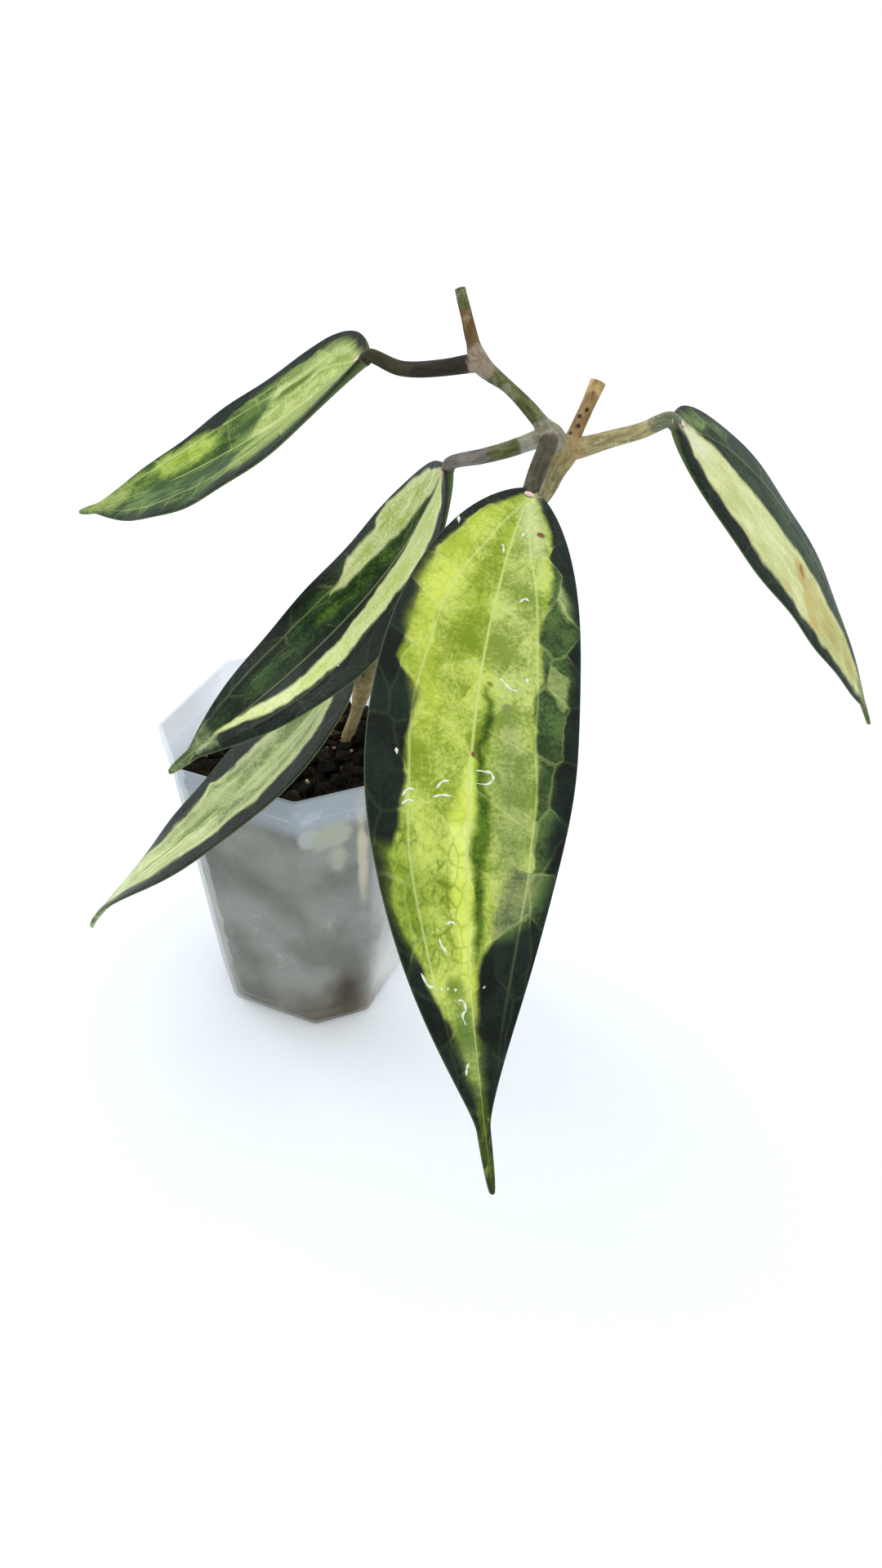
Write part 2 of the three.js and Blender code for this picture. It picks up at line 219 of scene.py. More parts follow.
# %% Build a finish with one node-making method
class Finish:
    """A material being built."""

    def __init__(self, name):
        self.material = bpy.data.materials.new(name)
        self.material.use_nodes = True
        self.tree = self.material.node_tree
        self.tree.nodes.clear()

    def add(self, kind, settings=None, inputs=None, output=0):
        """Node of a kind: settings first, then the numbers or links of its sockets."""
        node = self.tree.nodes.new(kind)
        for key, setting in (settings or {}).items():
            if key == "stops":
                self.set_stops(node.color_ramp, setting)
            else:
                setattr(node, key, setting)
        for key, value in (inputs or {}).items():
            if isinstance(value, Value):
                self.tree.links.new(value.socket, node.inputs[key])
            else:
                node.inputs[key].default_value = value
        return Value(self, node.outputs[output]) if node.outputs else None

    def set_stops(self, ramp, stops):
        """Colour ramp from a rising list of places and their colours."""
        ramp.elements[0].position = stops[0][0]
        ramp.elements[1].position = stops[-1][0]
        for place, _ in stops[1:-1]:
            ramp.elements.new(place)
        for element, (_, colour) in zip(ramp.elements, stops):
            element.color = (*colour, 1)

    def attribute(self, name, output="Fac"):
        """An attribute of the mesh: one number, or as output "Vector" three."""
        return self.add("ShaderNodeAttribute", {"attribute_name": name}, output=output)

    def place(self):
        """Object coordinates in metres."""
        return self.add("ShaderNodeTexCoord", output="Object")

    def place_mm(self):
        """Object coordinates in millimetres."""
        return self.vectors("MULTIPLY", self.place(), (1000, 1000, 1000))

    def step(self, value, low, high):
        """0 below low, 1 above high and a smooth rise between; low above high turns it round."""
        settings = {"interpolation_type": "SMOOTHSTEP"}
        return self.add("ShaderNodeMapRange", settings, {0: value, 1: low, 2: high})

    def mix(self, share, first, second):
        """Colour between two colours."""
        inputs = {0: share, 6: as_colour(first), 7: as_colour(second)}
        return self.add("ShaderNodeMix", {"data_type": "RGBA"}, inputs, output=2)

    def noise(self, place, size, detail=3, roughness=0.5):
        """Cloudy noise with features of a size, from about 0.25 to 0.75."""
        inputs = {"Vector": place, "Scale": 1 / size, "Detail": detail, "Roughness": roughness}
        return self.add("ShaderNodeTexNoise", {}, inputs)

    def split(self, vector):
        """The X part of a vector; its other parts are out("Y") and out("Z")."""
        return self.add("ShaderNodeSeparateXYZ", {}, {"Vector": vector})

    def vectors(self, operation, first, second, output="Vector"):
        """Vector Math on two vectors."""
        inputs = {0: first, 1: second}
        return self.add("ShaderNodeVectorMath", {"operation": operation}, inputs, output)

    def stretched(self, vector, scale):
        """A vector with its three parts multiplied, which stretches or squeezes a pattern."""
        return self.vectors("MULTIPLY", vector, scale)

    def surface(self, bump, strength, distance, **inputs):
        """Principled surface with a bump height, as the material's output."""
        relief = {"Strength": strength, "Distance": distance, "Height": bump}
        inputs["Normal"] = self.add("ShaderNodeBump", {}, relief)
        sockets = {key.replace("_", " "): value for key, value in inputs.items()}
        shader = self.add("ShaderNodeBsdfPrincipled", {}, sockets)
        self.add("ShaderNodeOutputMaterial", {}, {"Surface": shader})
        print("finish", self.material.name, "of", len(self.tree.nodes), "nodes")
        return self.material


# %% [markdown]
# ## The leaves
# Each blade leaves its stalk, arches over under its own weight and twists a little, so its midrib
# is a path whose heading, pitch and roll change along the way. Across the path the blade is
# folded like a shallow gutter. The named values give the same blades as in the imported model, with
# margins that wave half as much. Here each blade gets a fine grid, a rounded margin, and softer
# ridges for the midrib and the two side veins.

# %% Name the leaves' shapes
leaves = {
    "lower": {"base": (23.9, -6.6, 141.8), "length": 135, "width": 36.5, "heading": -100,
              "sway": -107, "pitch": (-21, -58), "droop": 1.25, "roll": (22, -8), "fold": 11.5,
              "rim": 1, "shoulder": 0.5, "widest": 0.33, "taper": 0.96, "end": 0.91, "tail": 0.2},
    "front": {"base": (91.6, -35.5, 227), "length": 165.5, "width": 45.4, "heading": -82.4,
              "sway": 34, "pitch": (-9, -61), "droop": 1, "roll": (-15.5, -22.5), "fold": 11,
              "rim": -1, "shoulder": 0.6, "widest": 0.44, "taper": 1, "end": 0.92, "tail": 0.22},
    "right": {"base": (115.3, 1, 234.5), "length": 119, "width": 48.5, "heading": 30.5,
              "sway": -4, "pitch": (-41, -67), "droop": 1, "roll": (16, 20), "fold": 5,
              "rim": -9, "shoulder": 0.48, "widest": 0.3, "taper": 0.8, "end": 0.93, "tail": 0.22},
    "middle": {"base": (66.4, -26, 224.5), "length": 112, "width": 43.5, "heading": -150,
               "sway": 45, "pitch": (-69.5, -8), "droop": 1, "roll": (-5, -8.5), "fold": 10,
               "rim": -2, "shoulder": 0.48, "widest": 0.27, "taper": 0.8, "end": 0.93,
               "tail": 0.3},
    "upper": {"base": (47.1, -31.2, 251.1), "length": 131, "width": 44.3, "heading": 178,
              "sway": -16, "pitch": (-41, -23), "droop": 1, "roll": (-16.5, -39), "fold": 13.5,
              "rim": 4, "shoulder": 0.58, "widest": 0.17, "taper": 0.92, "end": 0.93,
              "tail": 0.26},
}
for name, leaf in leaves.items():
    print(name, "leaf", leaf["length"], "mm long and", leaf["width"], "mm wide")

# %% Follow the midrib's path
sway_power = 1.5
path_steps = 420


def between(ends, share):
    return ends[0] + (ends[1] - ends[0]) * share


def blade_frame(leaf, t):
    """Directions at a share t of the length: along the midrib, to its left and out of the top."""
    pitch = np.radians(between(leaf["pitch"], t ** leaf["droop"]))
    heading = np.radians(leaf["heading"] + leaf["sway"] * t ** sway_power)
    roll = np.radians(between(leaf["roll"], t))[..., None]
    flat = np.cos(pitch)
    along = np.stack([flat * np.cos(heading), flat * np.sin(heading), np.sin(pitch)], axis=-1)
    level = np.stack([-np.sin(heading), np.cos(heading), np.zeros_like(heading)], axis=-1)
    upright = np.cross(along, level)
    left = level * np.cos(roll) + upright * np.sin(roll)
    up = upright * np.cos(roll) - level * np.sin(roll)
    return along, left, up


def midrib_points(leaf, t):
    """Path that starts at the leaf's base and adds up the directions along it."""
    middles = (np.arange(path_steps) + 0.5) / path_steps
    steps = blade_frame(leaf, middles)[0] * leaf["length"] / path_steps
    path = np.concatenate([np.zeros((1, 3)), np.cumsum(steps, axis=0)]) + leaf["base"]
    shares = np.linspace(0, 1, path_steps + 1)
    return np.stack([np.interp(t, shares, path[:, axis]) for axis in range(3)], axis=-1)


for name, leaf in leaves.items():
    print(name, "leaf's tip at", midrib_points(leaf, 1.0).round(1).tolist())

# %% Give the blade its outline
neck_share = 0.07
neck_power = 8
tip_half_width = 0.4


def half_width(leaf, t):
    """A blunt rise to the widest place, then a cosine taper, with a long narrow tip and a neck."""
    rise = (1 - (1 - np.minimum(t / leaf["widest"], 1)) ** 2) ** leaf["shoulder"]
    past = np.clip((t - leaf["widest"]) / (leaf["end"] - leaf["widest"]), 0, 1)
    taper = np.maximum(np.cos(past * np.pi / 2), 0) ** leaf["taper"]
    tip = leaf["tail"] * t * np.sqrt(1 - t)
    neck = neck_share * (1 - t) ** neck_power
    spread = np.sqrt((rise * taper) ** 2 + tip ** 2 + neck ** 2)
    return leaf["width"] / 2 * spread + tip_half_width * t


for name, leaf in leaves.items():
    print(name, "leaf", round(2 * half_width(leaf, 0.9), 1), "mm wide near its tip")

# %% Place the side veins and shape the ridges
vein_spread = 0.6
vein_ease = 0.135
vein_drift = 0.06


def side_vein_place(t):
    """Side veins leave the midrib at the base and run out to a share of the half width."""
    return vein_spread * (1 - np.exp(-t / vein_ease)) + vein_drift * t


def bell(distance, width):
    return np.exp(-(distance / width) ** 2)


print("side veins half way along, as a share of the half width:", round(side_vein_place(0.5), 2))

# %% Find any point of a blade's surface
margin_thickness = 0.9
mid_thickness = 1.5
base_thickness = 2.8
base_swell = 0.03
thinning_power = 1.5
tip_thinning = 0.6
rib_start = 0.05
rib_fade = 0.25
mid_rib_widths = (0.8, 1.1)
mid_rib_heights = (0.22, 0.85)
side_rib_width = 0.7
side_rib_heights = (0.14, 0.25)
wave_height = 0.35
wave_count = 3.5
wave_offset = 1.7


def blade_points(leaf, t, u, side, plump=1.0):
    """Points of the blade at t along it and u across it, from -1 at its right margin to 1 at its
    left. The blade's slope turns evenly from the fold at the midrib to the rim's slope, which
    gives its height as a difference of cosines. side is 1 on the upper face and -1 under it, and
    the pairs of rib sizes are for the upper face and for the lower one."""
    _, left, up = blade_frame(leaf, t)
    half = half_width(leaf, t)
    out = np.abs(u)
    fold = np.radians(leaf["fold"])
    bend = np.radians(leaf["rim"] - leaf["fold"])
    slope = fold + bend * out
    across = half * (np.sin(slope) - np.sin(fold)) / bend * np.sign(u)
    rise = half * (np.cos(fold) - np.cos(slope)) / bend
    phase = 2 * np.pi * wave_count * t + wave_offset * np.sign(u) + leaf["length"]
    wave = wave_height * out ** 3 * np.sin(np.pi * t) * np.sin(phase)
    ribs = np.minimum(1, t / rib_start) * np.minimum(1, (1 - t) / rib_fade)
    upper = side > 0
    mid_rib = bell(out * half, np.where(upper, *mid_rib_widths)) * np.where(upper, *mid_rib_heights)
    side_rib = bell((out - side_vein_place(t)) * half, side_rib_width)
    side_rib = side_rib * np.where(upper, *side_rib_heights)
    swell = (base_thickness - mid_thickness) * np.exp(-t / base_swell)
    middle = (mid_thickness - margin_thickness) * (1 - out ** thinning_power)
    thickness = margin_thickness + middle * (1 - tip_thinning * t) + swell
    lift = side * plump * (thickness / 2 + (mid_rib + side_rib) * ribs)
    sideways = across - lift * np.sin(slope) * np.sign(u)
    return midrib_points(leaf, t) + left * sideways[..., None] \
        + up * (rise + wave + lift * np.cos(slope))[..., None]


face_pair = [blade_points(leaves["front"], 0.5, np.array(0.0), np.array(side)) for side in (1, -1)]
face_gap = np.linalg.norm(face_pair[0] - face_pair[1])
print("front leaf", round(face_gap, 2), "mm thick at the middle of its midrib")

# %% Go once round a blade's section
core_columns = 53
rim_steps = 5


def there_and_back(row):
    """A row and the same row backwards, as a ring that passes its two ends only once."""
    return np.concatenate([row[:-1], row[:0:-1]])


def blade_columns():
    """Once round a blade's section, from its right margin: place across, turn of the rim, face."""
    core = np.linspace(-1, 1, core_columns)
    turn = np.linspace(0, np.pi / 2, rim_steps + 1)[1:]
    margin = np.ones(rim_steps)
    place = there_and_back(np.concatenate([-margin, core, margin]))
    rim = there_and_back(np.concatenate([turn[::-1], 0 * core, turn]))
    side = np.where(np.arange(len(place)) <= len(place) // 2, 1.0, -1.0)
    return place, rim, side


print("points once round a blade:", len(blade_columns()[0]))

# %% Make the five blades
blade_rows = 170
even_share = 0.45


def make_leaf(name):
    """Blade of a leaf: its margin is a half circle as thick as the blade is there, and its rows
    lie closer together towards the base and the tip."""
    leaf = leaves[name]
    place, rim, side = blade_columns()
    even = np.linspace(0, 1, blade_rows)
    t = even_share * even + (1 - even_share) * (1 - np.cos(np.pi * even)) / 2
    half = half_width(leaf, t[:, None])
    edge = np.minimum(0.5, margin_thickness / 2 / half)
    u = place * (1 - edge) + np.sign(place) * edge * np.sin(rim)
    t, half, side, plump = np.broadcast_arrays(t[:, None], half, side, np.cos(rim))
    rings = blade_points(leaf, t, u, side, plump)
    face = (side * plump + 1) / 2
    values = {"blade": with_poles(np.stack([u, t, half], axis=-1)),
              "face": with_poles(face[..., None])[:, 0]}
    faces = loft_faces(*u.shape)
    piece = make_piece(f"blade_{name}", f"leaf_{name}", with_poles(rings), *faces, values)
    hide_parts(f"leaf_{name}")
    return piece


blades = {name: make_leaf(name) for name in leaves}

# %% [markdown]
# ## Stems and stalks
# A stem is a circle carried along a smooth path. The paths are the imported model's, so every joint
# stays where it is, and so are the thicknesses, except that a stalk is a little thinner where it
# enters its blade. The fine surface adds what a bare tube lacks: rounded ends where a shoot buries
# itself in a node, flat cut ends with a sunken pith, and a coordinate that travels with the stem,
# so that cracks run round it and streaks run along it.

# %% Draw a smooth path through a few points
def unit(vectors):
    return vectors / np.linalg.norm(vectors, axis=-1, keepdims=True)


def smooth_path(route, place):
    """Centripetal curve through the route's points: a cubic between two points, whose end slopes
    weigh the chords before, between and after them by the square roots of their lengths."""
    given = np.array(route, dtype=float)
    points = np.concatenate([[2 * given[0] - given[1]], given, [2 * given[-1] - given[-2]]])
    low = np.minimum(place.astype(int), len(given) - 2)
    share = (place - low)[:, None]
    p0, p1, p2, p3 = (points[low + step] for step in range(4))
    chords = (p1 - p0, p2 - p1, p3 - p2)
    before, middle, after = (np.sqrt(np.linalg.norm(c, axis=1, keepdims=True)) for c in chords)
    leave = ((p1 - p0) / before - (p2 - p0) / (before + middle) + (p2 - p1) / middle) * middle
    arrive = ((p2 - p1) / middle - (p3 - p1) / (middle + after) + (p3 - p2) / after) * middle
    square = 3 * (p2 - p1) - 2 * leave - arrive
    cube = 2 * (p1 - p2) + leave + arrive
    return p1 + leave * share + square * share ** 2 + cube * share ** 3


def eased(values, place):
    """Value between the given ones, with a smooth start and end at each."""
    values = np.array(values, dtype=float)
    low = np.minimum(place.astype(int), len(values) - 2)
    share = place - low
    return values[low] + (values[low + 1] - values[low]) * share ** 2 * (3 - 2 * share)


print("half way from 0 to 1 to 0 with ease:", eased([0, 1, 0], np.array([0.5, 1.0, 1.5])))

# %% Follow a stem from end to end
ring_spacing = 0.55
cut_shares = (0.97, 0.86, 0.6, 0.3, 0.12)
cut_depths = (0, 0.08, 0.12, 0.3, 0.42)
dome_turns = (25, 48, 66, 80)


def end_rings(point, away, radius, kind):
    """Extra rings past an end: a dome, or a flat cut that dips towards the pith."""
    if kind == "dome":
        turns = np.radians(dome_turns)
        path = point + away * (radius * np.sin(turns))[:, None]
        return path, radius * np.cos(turns), np.ones(len(turns))
    shares = np.array(cut_shares)
    return point - away * np.array(cut_depths)[:, None], radius * shares, shares


def stem_line(route, radii, ends):
    """Middle, radius, share of the skin's radius and direction of every ring, ends included."""
    length = np.linalg.norm(np.diff(np.array(route, dtype=float), axis=0), axis=1).sum()
    place = np.linspace(0, len(route) - 1, int(length / ring_spacing))
    path = smooth_path(route, place)
    line = [path, eased(radii, place), np.ones(len(path)), unit(np.gradient(path, axis=0))]
    for tip, outwards, kind in ((0, -1, ends[0]), (-1, 1, ends[1])):
        heading = line[3][tip]
        more = end_rings(line[0][tip], heading * outwards, line[1][tip], kind)
        more = (*more, np.repeat(heading[None], len(more[0]), axis=0))
        line = [np.concatenate([new[::-1], old] if tip == 0 else [old, new])
                for old, new in zip(line, more)]
    return line


print("rings that round an end:", len(dome_turns), "and that sink a cut:", len(cut_shares))

# %% Carry a circle along the stem
stem_sides = 28
unevenness = 0.04
uneven_lengths = (5, 3.1)


def full_turn(count, start=0):
    """Angles of even steps once round."""
    return (np.arange(count) + start) / count * 2 * np.pi


def circle_between(first, second, angle):
    """Circle in the plane of two directions: first cos(angle) + second sin(angle)."""
    level = first[..., None, :] * np.cos(angle)[:, None]
    return level + second[..., None, :] * np.sin(angle)[:, None]


def make_stem(name, route, radii, slot, node=None, ends=("dome", "dome")):
    """Tube whose points are path + radius (side cos + up sin), a little uneven like a real stem."""
    path, radius, skin, tangent = stem_line(route, radii, ends)
    across = np.eye(3)[np.argmin(np.abs(tangent).max(axis=0))]
    side = unit(np.cross(tangent, across))
    up = np.cross(side, tangent)
    travelled = np.cumsum(np.linalg.norm(np.diff(path, axis=0, prepend=path[:1]), axis=1))[:, None]
    angle = full_turn(stem_sides)
    uneven = np.sin(2 * angle + travelled / uneven_lengths[0]) \
        + np.sin(3 * angle - travelled / uneven_lengths[1] + 1)
    around = radius[:, None] * (1 + unevenness * uneven * skin[:, None])
    rings = path[:, None] + around[..., None] * circle_between(side, up, angle)
    travelled, skin = np.broadcast_arrays(travelled, skin[:, None], around)[:2]
    follow = np.stack([travelled, around * np.cos(angle), around * np.sin(angle)], axis=-1)
    values = {"stem": with_poles(follow), "skin": with_poles(skin[..., None])[:, 0]}
    piece = make_piece(name, slot, with_poles(rings), *loft_faces(*around.shape), values)
    if node:
        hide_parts(node)
    return piece


# %% Make the woody stem with its old stub, and the green shoot
lower_node = (17.8, 15.2, 121)
old_node = (91.5, -9, 226.8)
young_node = (87.8, -12.4, 231.8)
upper_node = (69.8, -14.7, 248.1)

wood = make_stem(
    "woody_stem",
    [(8, 15.5, 85), (10.9, 14.6, 98), (14.5, 15.4, 110), lower_node, (21.5, 11.5, 128),
     (28, 5.5, 139), (56, -1, 176), (85, -8.5, 212), (88.6, -9.3, 220), old_node],
    [2.1, 2.1, 2.1, 3.2, 2.2, 1.9, 1.85, 1.9, 2.1, 3.1], "woody_stem", "main_stem")
stub = make_stem(
    "old_stub", [old_node, (92.4, -5.5, 231.5), (93.6, -1.4, 236.4), (94.7, 2.6, 241)],
    [2.6, 1.9, 1.8, 2.0], "woody_stem", ends=("dome", "cut"))
shoot = make_stem(
    "green_shoot",
    [old_node, young_node, (84.6, -12.4, 235.4), (77.2, -13.5, 242.3), upper_node,
     (66.8, -13.1, 252.9), (64.2, -10.7, 257.8), (61.6, -8.4, 262.9)],
    [2.3, 3.2, 1.9, 1.65, 2.5, 1.6, 1.4, 1.35], "green_stem", "shoot", ends=("dome", "cut"))

# %% Make the five leaf stalks, each running into its blade
stalks = {
    "lower": ([lower_node, (18.8, 9.5, 129), (21, 2.5, 137.5)], 1.9),
    "front": ([young_node, (89.6, -19, 231.6), (90.4, -26, 230.2)], 2.2),
    "right": ([old_node, (100.5, -4.4, 229.7), (107.5, -1, 231.7)], 2.1),
    "middle": ([young_node, (81, -16.8, 229.4), (73, -21, 226.9)], 1.9),
    "upper": ([upper_node, (62.5, -21, 247.9), (54.2, -27, 248.4)], 1.85),
}
stalk_taper = (1.25, 1.05, 1, 0.92, 0.86)
stalk_bend = 2
stalk_reach = 0.5


def make_stalk(name):
    """Stalk that swells at the stem, turns into its blade's direction and ends just inside it."""
    route, radius = stalks[name]
    base = np.array(leaves[name]["base"])
    along = blade_frame(leaves[name], np.array(0.0))[0]
    end = base + along * stalk_reach
    full_route = [*route, tuple(end - along * stalk_bend), tuple(end)]
    radii = [radius * share for share in stalk_taper]
    return make_stem(f"stalk_{name}", full_route, radii, "stalk", f"petiole_{name}")


stalk_pieces = {name: make_stalk(name) for name in stalks}

# %% Set a small gland where each stalk meets its blade
gland_share = 0.014
gland_size = (1.35, 0.95, 0.55)
gland_rows = 10
gland_sides = 24
gland_slopes = (-40, 88)
dent_depth = 0.35
dent_reach = 0.5


def make_gland(name):
    """Low oval cushion on the blade's upper face, with a shallow dent in the middle."""
    leaf = leaves[name]
    here = np.array(gland_share)
    along, left, up = blade_frame(leaf, here)
    centre = blade_points(leaf, here, np.array(0.0), np.array(1.0))
    turn = full_turn(gland_sides)
    slope = np.radians(np.linspace(*gland_slopes, gland_rows))[:, None]
    reach = np.cos(slope)
    height = np.sin(slope) - dent_depth * np.clip(1 - reach / dent_reach, 0, 1) * (slope > 0)
    height = np.broadcast_to(height, (gland_rows, gland_sides))
    wide, long, tall = gland_size
    rings = centre + left * (wide * reach * np.cos(turn))[..., None] \
        + along * (long * reach * np.sin(turn))[..., None] + up * (tall * height)[..., None]
    points = with_poles(rings)
    offset = points - centre
    rim = np.hypot(offset @ left / wide, offset @ along / long)
    return make_piece(f"gland_{name}", "stalk", points, *loft_faces(*height.shape), {"rim": rim})


glands = {name: make_gland(name) for name in leaves}

# %% Lay water marks and scratches on two blades, whose white further on is partly a painted glint
marks = {
    "front": [
        [(0.14, 0.102), (0.19, 0.093)], [(-0.14, 0.128), (-0.1, 0.133), (-0.08, 0.142)],
        [(-0.97, 0.108), (-0.88, 0.121)], [(0.28, 0.22), (0.33, 0.212), (0.39, 0.214)],
        [(0.19, 0.343), (0.24, 0.349), (0.3, 0.356), (0.38, 0.357)],
        [(0.44, 0.336), (0.47, 0.343)],
        [(0.06, 0.475), (0.13, 0.475), (0.2, 0.477), (0.22, 0.483), (0.19, 0.49), (0.07, 0.492)],
        [(-0.33, 0.507), (-0.28, 0.498), (-0.2, 0.494)],
        [(-0.36, 0.518), (-0.28, 0.514), (-0.18, 0.513)],
        [(-0.66, 0.522), (-0.61, 0.514), (-0.54, 0.512)],
        [(-0.67, 0.532), (-0.6, 0.526), (-0.55, 0.527)],
        [(-0.72, 0.466), (-0.71, 0.474)], [(-0.3, 0.668), (-0.22, 0.665), (-0.18, 0.668)],
        [(-0.42, 0.684), (-0.4, 0.692), (-0.33, 0.701)],
        [(-0.78, 0.722), (-0.74, 0.735), (-0.64, 0.739)], [(-0.56, 0.741), (-0.5, 0.742)],
        [(-0.44, 0.742), (-0.4, 0.743)], [(-0.32, 0.744), (-0.26, 0.745)],
        [(-0.28, 0.757), (-0.17, 0.76), (-0.15, 0.768), (-0.24, 0.776), (-0.2, 0.787)],
        [(-0.5, 0.846), (-0.42, 0.838), (-0.3, 0.832)], [(0.22, 0.744), (0.24, 0.746)],
    ],
    "middle": [[(0.52, 0.496), (0.56, 0.503)], [(0.62, 0.515), (0.64, 0.518)]],
}
mark_radius = 0.4
mark_end = 0.3
mark_sides = 6
rings_per_point = 6
bead_size = (0.8, 0.3)
bead_rate = 5


def joined(bodies):
    """One body from several, each given as its points, quads and triangles."""
    starts = np.cumsum([0, *(len(body[0]) for body in bodies)])
    moved = [(points, quads + start, triangles + start)
             for (points, quads, triangles), start in zip(bodies, starts)]
    return [np.concatenate(part) for part in zip(*moved)]


def make_mark(leaf, route):
    """Thin tube on a smooth path over the blade's upper face, thicker in the middle and beaded."""
    place = np.linspace(0, len(route) - 1, rings_per_point * len(route))
    path = smooth_path([(u, t, 0) for u, t in route], place)
    centre = blade_points(leaf, path[:, 1], path[:, 0], np.ones(len(path)))
    upward = blade_frame(leaf, path[:, 1])[2]
    across = unit(np.cross(np.gradient(centre, axis=0), upward))
    swell = mark_end + (1 - mark_end) * np.sin(np.pi * (place / place[-1]))
    radius = mark_radius * swell * (bead_size[0] + bead_size[1] * np.sin(place * bead_rate))
    ring = circle_between(across, upward, full_turn(mark_sides))
    tube = centre[:, None] + ring * radius[:, None, None]
    return with_poles(tube), *loft_faces(len(place), mark_sides)


def make_marks(name):
    """All marks of a blade as one mesh."""
    body = joined([make_mark(leaves[name], route) for route in marks[name]])
    return make_piece(f"water_marks_{name}", f"leaf_{name}", *body)


mark_pieces = [make_marks(name) for name in marks]

# %% [markdown]
# ## The pot
# The pot is a thin clear square pot with its corners cut off, wider at the top, with a band round
# the rim. One closed profile runs up the outside, over the lip and down the inside, and a rounded
# square is drawn at each of its points. The floor is a plate of its own inside the foot, because
# a plate can hold its four drain holes as simple circles.

# %% Draw a rounded square with cut-off corners
pot_low, pot_high = (np.array(corner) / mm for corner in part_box("pot"))
pot_width, _, pot_height = pot_high - pot_low
corner_share = 0.23
corner_radius = 2.5
arc_points = 7
flat_points = 7


def circle(angle):
    return np.stack([np.cos(angle), np.sin(angle)], axis=-1)


def outline(widths):
    """Ring for each width. Its eight corners are (flat, -half) and (half, -flat), turned by each
    quarter turn, and every corner is rounded by an arc whose centre is set in along its middle."""
    half = np.asarray(widths, dtype=float)[:, None, None] / 2
    flat = half * (1 - 2 * corner_share)
    first = np.radians(np.arange(8) * 45 - 90)[None, :, None]
    turn = first + np.radians(np.linspace(0, 45, arc_points))
    quarter = np.radians((np.arange(8) // 2) * 90)[None, :, None]
    odd = (np.arange(8) % 2)[None, :, None]
    x, y = np.where(odd, half, flat), np.where(odd, -flat, -half)
    corner = np.stack([x * np.cos(quarter) - y * np.sin(quarter),
                       x * np.sin(quarter) + y * np.cos(quarter)], axis=-1)
    inward = corner_radius / np.cos(np.radians(22.5))
    centre = corner - inward * circle(first + np.radians(22.5))
    arcs = centre + corner_radius * circle(turn)
    ahead = np.roll(arcs[:, :, :1], -1, axis=1)
    share = (np.arange(1, flat_points + 1) / (flat_points + 1))[:, None]
    sides = arcs[:, :, -1:] * (1 - share) + ahead * share
    return np.concatenate([arcs, sides], axis=2).reshape(len(half), -1, 2)


def outline_rings(widths, heights):
    """Outlines of given widths, each at its own height."""
    flat = outline(widths)
    level = np.broadcast_to(heights[:, None, None], (*flat.shape[:2], 1))
    return np.concatenate([flat, level], axis=-1)


print("pot", round(pot_width, 1), "mm wide and", round(pot_height, 1), "mm high")

# %% Run the pot's profile up the outside, over the lip and down the inside
foot_width = 62
wall = 1.2
lip = wall / 2
floor_thickness = 1.6
rim_band = 9
rim_step = 1.3
band_foot = pot_height - rim_band
band_lean = 0.35
step_height = 1.2
foot_rounding = 3.5
inner_step = 0.6
bed_rounding = 2
bed_sink = 0.2


def wall_width(z):
    """Outer width of the tapered wall at a height."""
    top = pot_width - 2 * rim_step
    return foot_width + (top - foot_width) * z / band_foot


def quarter_turn(count):
    return np.linspace(0, np.pi / 2, count)


def outer_profile():
    """Heights and widths up the outside: an arc at the foot, the wall, a step and the band."""
    foot, step = quarter_turn(8), quarter_turn(5)
    foot_z = foot_rounding * (1 - np.cos(foot))
    side_z = np.linspace(foot_rounding + 3, band_foot - 1, 16)
    band_z = np.linspace(band_foot + 2 * step_height, pot_height - 1.6, 4)
    return [
        (foot_z, wall_width(foot_z) - 2 * foot_rounding * (1 - np.sin(foot))),
        (side_z, wall_width(side_z)),
        (band_foot + step_height * (1 - np.cos(step)),
         wall_width(band_foot) + 2 * (rim_step - band_lean) * np.sin(step)),
        (band_z, pot_width - 2 * band_lean * (pot_height - 1 - band_z) / rim_band),
    ]


def inner_profile():
    """Heights and widths over the lip, down the inside and round the edge of the bed."""
    over = np.linspace(-0.5, np.pi + 0.3, 11)
    inner_z = np.concatenate([[band_foot + 3, band_foot - 0.6], np.linspace(band_foot - 4, 6, 12)])
    inner_w = wall_width(np.minimum(inner_z, band_foot)) - 2 * wall
    inner_w[0] += 2 * inner_step
    bed = quarter_turn(5)[::-1]
    return [
        (pot_height - lip + lip * np.sin(over), pot_width - 2 * lip + 2 * lip * np.cos(over)),
        (inner_z, inner_w),
        (floor_thickness + bed_rounding * (1 - np.cos(bed)) - bed_sink,
         wall_width(floor_thickness) - 2 * wall - 2 * bed_rounding * (1 - np.sin(bed))),
    ]


def make_pot():
    heights, widths = (np.concatenate(part) for part in zip(*outer_profile(), *inner_profile()))
    rings = outline_rings(widths, heights)
    quads = ring_quads(*rings.shape[:2])
    piece = make_piece("clear_pot", "pot", rings.reshape(-1, 3), quads)
    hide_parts("pot")
    return piece


pot = make_pot()

# %% Make the pot's floor with its drain holes
drain_radius = 3.5
drain_ring = 15
drain_place = drain_ring / np.sqrt(2)
floor_gap = 1.8
floor_width = wall_width(floor_thickness) - 2 * wall - 2 * floor_gap
floor_low = 0.02
hole_points = 48


